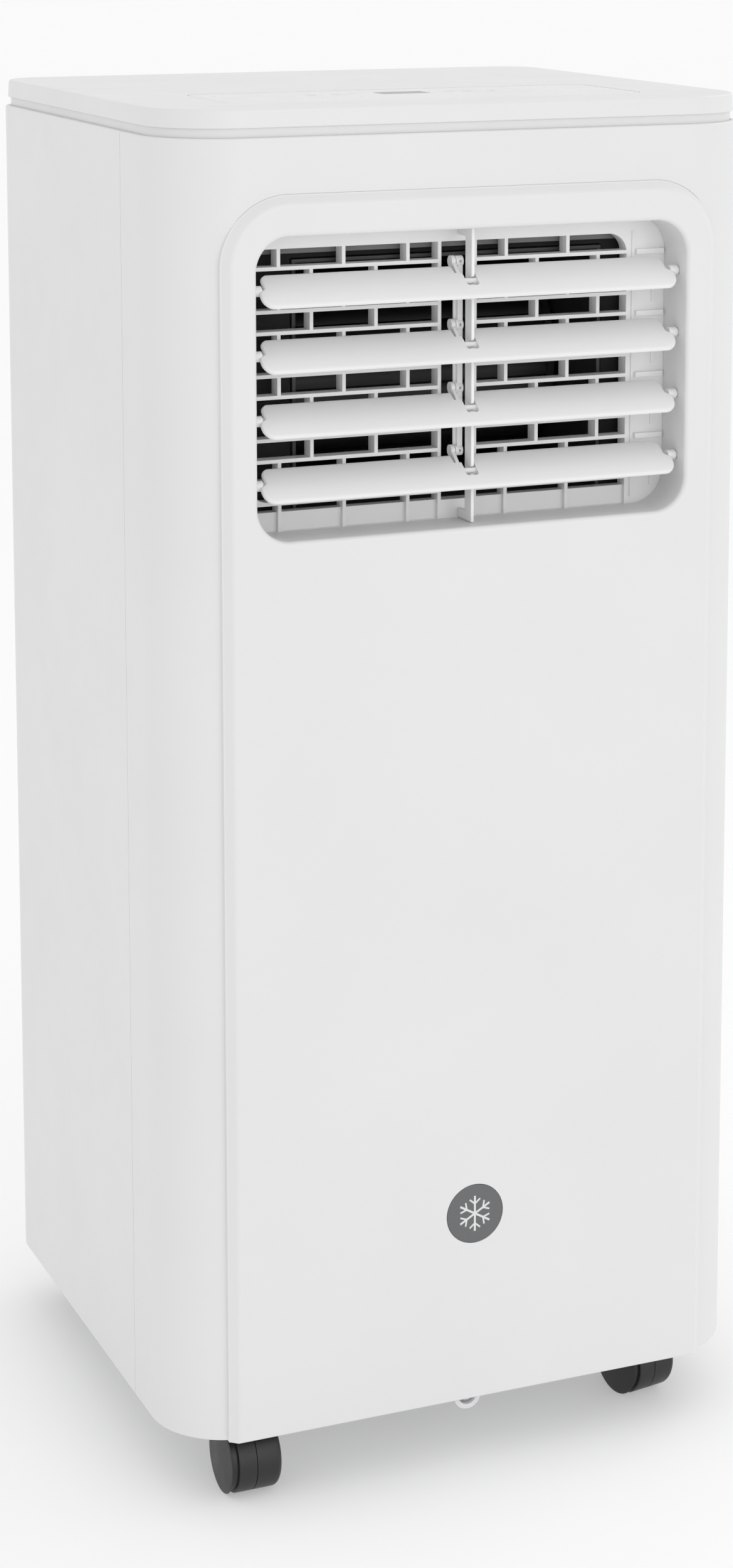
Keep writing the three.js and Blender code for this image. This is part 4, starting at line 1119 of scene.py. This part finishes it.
def fan_wheel(name):
    """A squirrel cage of curved blades between a back plate and an end ring."""
    y, z, radius, half = FANS[name][:4]
    blade = arc(0, 0, 9, 20, 110, 6) + arc(0, 0, 8.2, 110, 20, 6)
    lift = shift(0, -4.6, radius - 9.9)
    blades = []
    for k in range(FAN_BLADES):
        turn = turn_about("X", 2 * pi * k / FAN_BLADES)
        blades.append(moved(prism(blade, "X", -half + 1, half - 1), turn @ lift))
    ring = cylinder("X", 0, 0, half - 4, half, radius, 96)
    wheel = union(
        cylinder("X", 0, 0, -half, -half + 2.4, radius, 96),
        cut(ring, cylinder("X", 0, 0, half - 5, half + 1, radius - 10, 96)),
        cylinder("X", 0, 0, -half, -half + 24, 10, 48),
        joined(*blades),
    )
    wheel = moved(wheel, shift(0, y, z))
    body = f"{name}_fan_wheel"
    piece(f"{name}_fan_fine", wheel, "black", f"{name}_fan", body=body, bevel=0.15)


def fan_motor(name):
    y, z = FANS[name][:2]
    low, high = span(f"{name}_fan_motor")
    can = [(0, 0), (20, 0), (28, 1.5), (31, 4), (32, 8), (32, 20), (30.8, 20.6), (30.8, 29.4), (32, 30)]
    can += [(32, 42), (31, 46), (28, 48.5), (20, 50), (5, 50), (5, high.x - low.x), (0, high.x - low.x)]
    body = moved(lathe(can, 96), shift(low.x, y, z) @ turn_about("Y", pi / 2))
    piece(f"{name}_fan_motor_fine", body, "steel", f"{name}_fan_motor")


def coil(name):
    """A finned block with copper-coloured hairpin bends standing out at both ends."""
    low, high = span(f"{name}_coil")
    half = high.x - COIL_BEND_REACH
    core = box(-half + 1, half - 1, low.y + 0.8, high.y - 0.8, low.z + 0.8, high.z - 0.8)
    count = int(2 * half / FIN_PITCH)
    pitch = 2 * half / count
    edges = [-half + k * pitch for k in range(count)]
    fins = [box(x, x + pitch * 0.35, low.y, high.y, low.z, high.z) for x in edges]
    piece(f"{name}_coil_fins", union(core, joined(*fins)), "aluminium", f"{name}_coil")
    y = middle(f"{name}_coil").y
    bends = []
    z = low.z + 12.5
    while z + 25 < high.z:
        for side in (-1, 1):
            path = []
            for angle in (pi * k / 12 for k in range(13)):
                bow = min(6.5, 8 * sin(angle))
                path.append((side * (half + bow), y, z + 9.5 - 6 * cos(angle)))
            bends.append(tube(path, 2.6, 16))
        z += 25
    piece(f"{name}_coil_bends", joined(*bends), "copper")


def tube(points, radius, sides=24):
    """A round tube along a row of points, closed at both ends."""
    places = [Vector(point) for point in points]
    rings = []
    normal = None
    for k, place in enumerate(places):
        ahead = (places[min(k + 1, len(places) - 1)] - places[max(k - 1, 0)]).normalized()
        if normal is None:
            normal = ahead.orthogonal().normalized()
        normal = (normal - ahead * normal.dot(ahead)).normalized()
        other = ahead.cross(normal)
        ring = []
        for step in range(sides):
            angle = 2 * pi * step / sides
            ring.append(place + radius * (cos(angle) * normal + sin(angle) * other))
        rings.append(ring)
    return loft(rings)


def smooth_path(points):
    """A Catmull-Rom curve through the points, in ten steps from one to the next."""
    knots = [Vector(point) for point in points]
    knots = [2 * knots[0] - knots[1], *knots, 2 * knots[-1] - knots[-2]]
    path = []
    for a, b, c, d in zip(knots, knots[1:], knots[2:], knots[3:]):
        bend = 2 * a - 5 * b + 4 * c - d
        twist = 3 * b - a - 3 * c + d
        for t in (k / 10 for k in range(10)):
            path.append(b + (c - a) * t / 2 + bend * t**2 / 2 + twist * t**3 / 2)
    return [*path, knots[-2]]


def can_profile(radius, bottom, top):
    """A pressed steel can: domed ends and a weld bead round its middle."""
    dome = radius * 0.3
    weld = (bottom + top) / 2
    profile = [(0, bottom)]
    profile += [(radius * sin(a), bottom + dome * (1 - cos(a))) for a in quarter(8)[1:]]
    profile += [(radius, weld - 2), (radius + 0.8, weld - 1), (radius + 0.8, weld + 1), (radius, weld + 2)]
    profile += [(radius * cos(a), top - dome * (1 - sin(a))) for a in quarter(8)[:-1]]
    return profile + [(0, top)]


def compressor():
    x, y = COMPRESSOR_PLACE
    low, high = span("compressor")
    bottle_x, bottle_y = ACCUMULATOR_PLACE
    can = moved(lathe(can_profile(52, low.z + 2, high.z), 96), shift(x, y, 0))
    bottle = moved(lathe(can_profile(18, 80, 190), 64), shift(bottle_x, bottle_y, 0))
    legs = []
    for bearing in MOUNT_ANGLES:
        foot = cylinder("Z", 66, 0, low.z, low.z + 3, 12, 48)
        leg = union(box(10, 66, -12, 12, low.z, low.z + 3), foot)
        legs.append(moved(leg, shift(x, y, 0) @ turn_about("Z", radians(bearing))))
    strap = box(x + 46, bottle_x - 12, bottle_y - 6, bottle_y + 6, 130, 142)
    cover = box(x - 16, x + 16, y - 14, y + 14, high.z - 12, high.z)
    body = union(can, bottle, *legs, strap, cover)
    piece("compressor_fine", body, "enamel", "compressor", bevel=0.5)
    for index in (1, 2, 3):
        bush_on(f"compressor_mount_{index}", f"compressor_bush_{index}")


def upright(node, profile, sides):
    """A profile turned about the upright axis of a node, from the node's lowest point."""
    centre = middle(node)
    return moved(lathe(profile, sides), shift(centre.x, centre.y, span(node)[0].z))


def bush_on(node, name):
    """A waisted rubber bush in place of a compressor mount."""
    low, high = span(node)
    height = high.z - low.z
    profile = [(0, 0), (7.4, 0), (8, 0.6), (8, 3), (6.2, 4.4), (6.2, height - 4.4), (8, height - 3)]
    profile += [(8, height - 0.6), (7.4, height), (0, height)]
    piece(name, upright(node, profile, 48), "rubber", node)


def pipes():
    x, y = COMPRESSOR_PLACE
    bottle_x, bottle_y = ACCUMULATOR_PLACE
    top = span("compressor")[1].z
    discharge = [
        (x, y, top + 2),
        (x, y, top + 25),
        (x - 40, y, top + 35),
        (-128, 0, top + 10),
        (-128, 70, top - 10),
        (-128, 110, top - 20),
    ]
    suction = [
        (bottle_x, bottle_y, 195),
        (bottle_x, y - 30, top + 20),
        (60, -100, top + 60),
        (120, -100, 330),
        (135, -60, 370),
    ]
    for name, route, radius in (("discharge", discharge, 4), ("suction", suction, 5)):
        body = tube(smooth_path(route), radius)
        piece(f"{name}_pipe_fine", body, "copper", f"{name}_pipe", bevel=0.6)


def electrics():
    low, high = span("run_capacitor")
    radius = (high.x - low.x) / 2
    height = high.z - low.z
    can = [(0, 0), (radius - 1, 0), (radius, 1), (radius, height - 8), (radius - 1.2, height - 7)]
    can += [(radius - 1.2, height - 5), (radius, height - 4), (radius - 0.6, height - 3), (6, height - 3)]
    can += [(6, height), (0, height)]
    piece("run_capacitor_can", upright("run_capacitor", can, 64), "aluminium", "run_capacitor")
    for node in ("mid_deck", "electronics_box"):
        dressed(frame["nodes"][node], "grey")
    for node in ("control_board", "display_board"):
        dressed(frame["nodes"][node], "board")


def duct_seal():
    """The black foam frame between the outlet grille and the fan's duct, with a lip above it. The foam's
    near-black is painted shade in the grille's cells; the grey lip, lighter than the foam, is painted light
    at the top of the top row's cells.
    """
    low, high = span("evaporator_scroll")
    half = high.x + 0.4
    depths = (GRILLE_BACK + 3, low.y + 14)
    duct_low, duct_high = FANS["evaporator"][5:]
    bottom, top = GRILLE_FIRST_ROW - 4, GRILLE_TOP_ROW + 6
    foam = union(
        box(-SEAL_HALF, -half, *depths, bottom, top),
        box(half, SEAL_HALF, *depths, bottom, top),
        box(-SEAL_HALF, SEAL_HALF, *depths, bottom, duct_low - 0.4),
        box(-SEAL_HALF, SEAL_HALF, *depths, duct_high + 0.4, top),
    )
    # The foam's near-black colour is painted shade for the cells in front of it.
    piece("outlet_duct_foam_painted_shade", foam, "foam", bevel=0.8)
    # The lip's grey, lighter than the foam, is painted light: the lit band at the top of the top row's
    # cells.
    edge = SEAL_HALF - 4
    lip = box(-edge, edge, GRILLE_BACK + 0.8, GRILLE_BACK + 2.8, DUCT_LIP, top)
    piece("outlet_duct_lip_painted_light", lip, "painted_light_lip", bevel=0.5)


def build():
    front_shell()
    rear_shell()
    rear_screws()
    base_pan()
    top_lid()
    control_panel()
    panel_prints()
    badge()
    outlet_grille()
    louvre_support()
    for index in (1, 2, 3, 4):
        louvre_blade(index)
    link_rod()
    for name in CASTERS:
        caster(name)
    bottom_lug()
    intake("upper")
    intake("lower")
    exhaust_collar()
    drain_cap("upper_drain_cap")
    drain_cap("base_drain_cap")
    cord_gland()
    duct_seal()
    # The evaporator scroll's near-black plastic is painted shade inside the outlet; the condenser scroll
    # keeps the grey plastic.
    fan_casing("evaporator", "duct")
    fan_casing("condenser", "grey")
    for make in (fan_wheel, fan_motor, coil):
        for name in FANS:
            make(name)
    compressor()
    pipes()
    electrics()


build()


# ---------------------------------------------------------------- stage, light and camera

FLOOR_COLOR = (0.66, 0.66, 0.66)
FLOOR_GLOW = 0.31
FLOOR_HALF = 20


def make_floor():
    bm = bmesh.new()
    corners = ((-1, -1), (1, -1), (1, 1), (-1, 1))
    bm.faces.new([bm.verts.new((FLOOR_HALF * x, FLOOR_HALF * y, 0)) for x, y in corners])
    floor = scratch_object(bm)
    floor.name = floor.data.name = "studio_floor"
    pale = plastic("pale_floor", FLOOR_COLOR, 0.7, grain=120, bump=0.02, spread=0.01, specular=0.2)
    glow = {"Emission Color": (1, 1, 1, 1), "Emission Strength": FLOOR_GLOW}
    set_inputs(pale.node_tree.nodes["Principled BSDF"], glow)
    floor.data.materials.append(pale)


def make_light(name, place, target, size, power):
    data = bpy.data.lights.new(name, "AREA")
    data.shape = "RECTANGLE"
    data.size, data.size_y = size
    data.energy = power
    light = bpy.data.objects.new(name, data)
    light.location = place
    light.rotation_euler = (Vector(target) - Vector(place)).to_track_quat("-Z", "Y").to_euler()
    bpy.context.scene.collection.objects.link(light)


def make_world(strength):
    world = bpy.data.worlds.new("studio")
    world.use_nodes = True
    set_inputs(world.node_tree.nodes["Background"], {"Color": (1, 1, 1, 1), "Strength": strength})
    bpy.context.scene.world = world


def make_camera():
    data = bpy.data.cameras.new("camera")
    data.lens = 73.3
    data.sensor_width = 36
    data.shift_x = -0.0175
    data.shift_y = -0.27
    data.clip_end = 50
    camera = bpy.data.objects.new("camera", data)
    camera.location = (-0.636, -1.556, 0.804)
    camera.rotation_euler = (radians(90 - 8.46), 0, radians(-22.77))
    bpy.context.scene.collection.objects.link(camera)
    bpy.context.scene.camera = camera


make_camera()
make_floor()
make_world(0.95)
make_light("key", (0.7, -3.2, 1.2), (0, 0, 0.4), (2.2, 2.2), 14)
make_light("top_right", (1.2, 0.2, 1.5), (0, 0, 0.7), (0.8, 0.8), 2)
bpy.context.scene.view_settings.view_transform = "Standard"
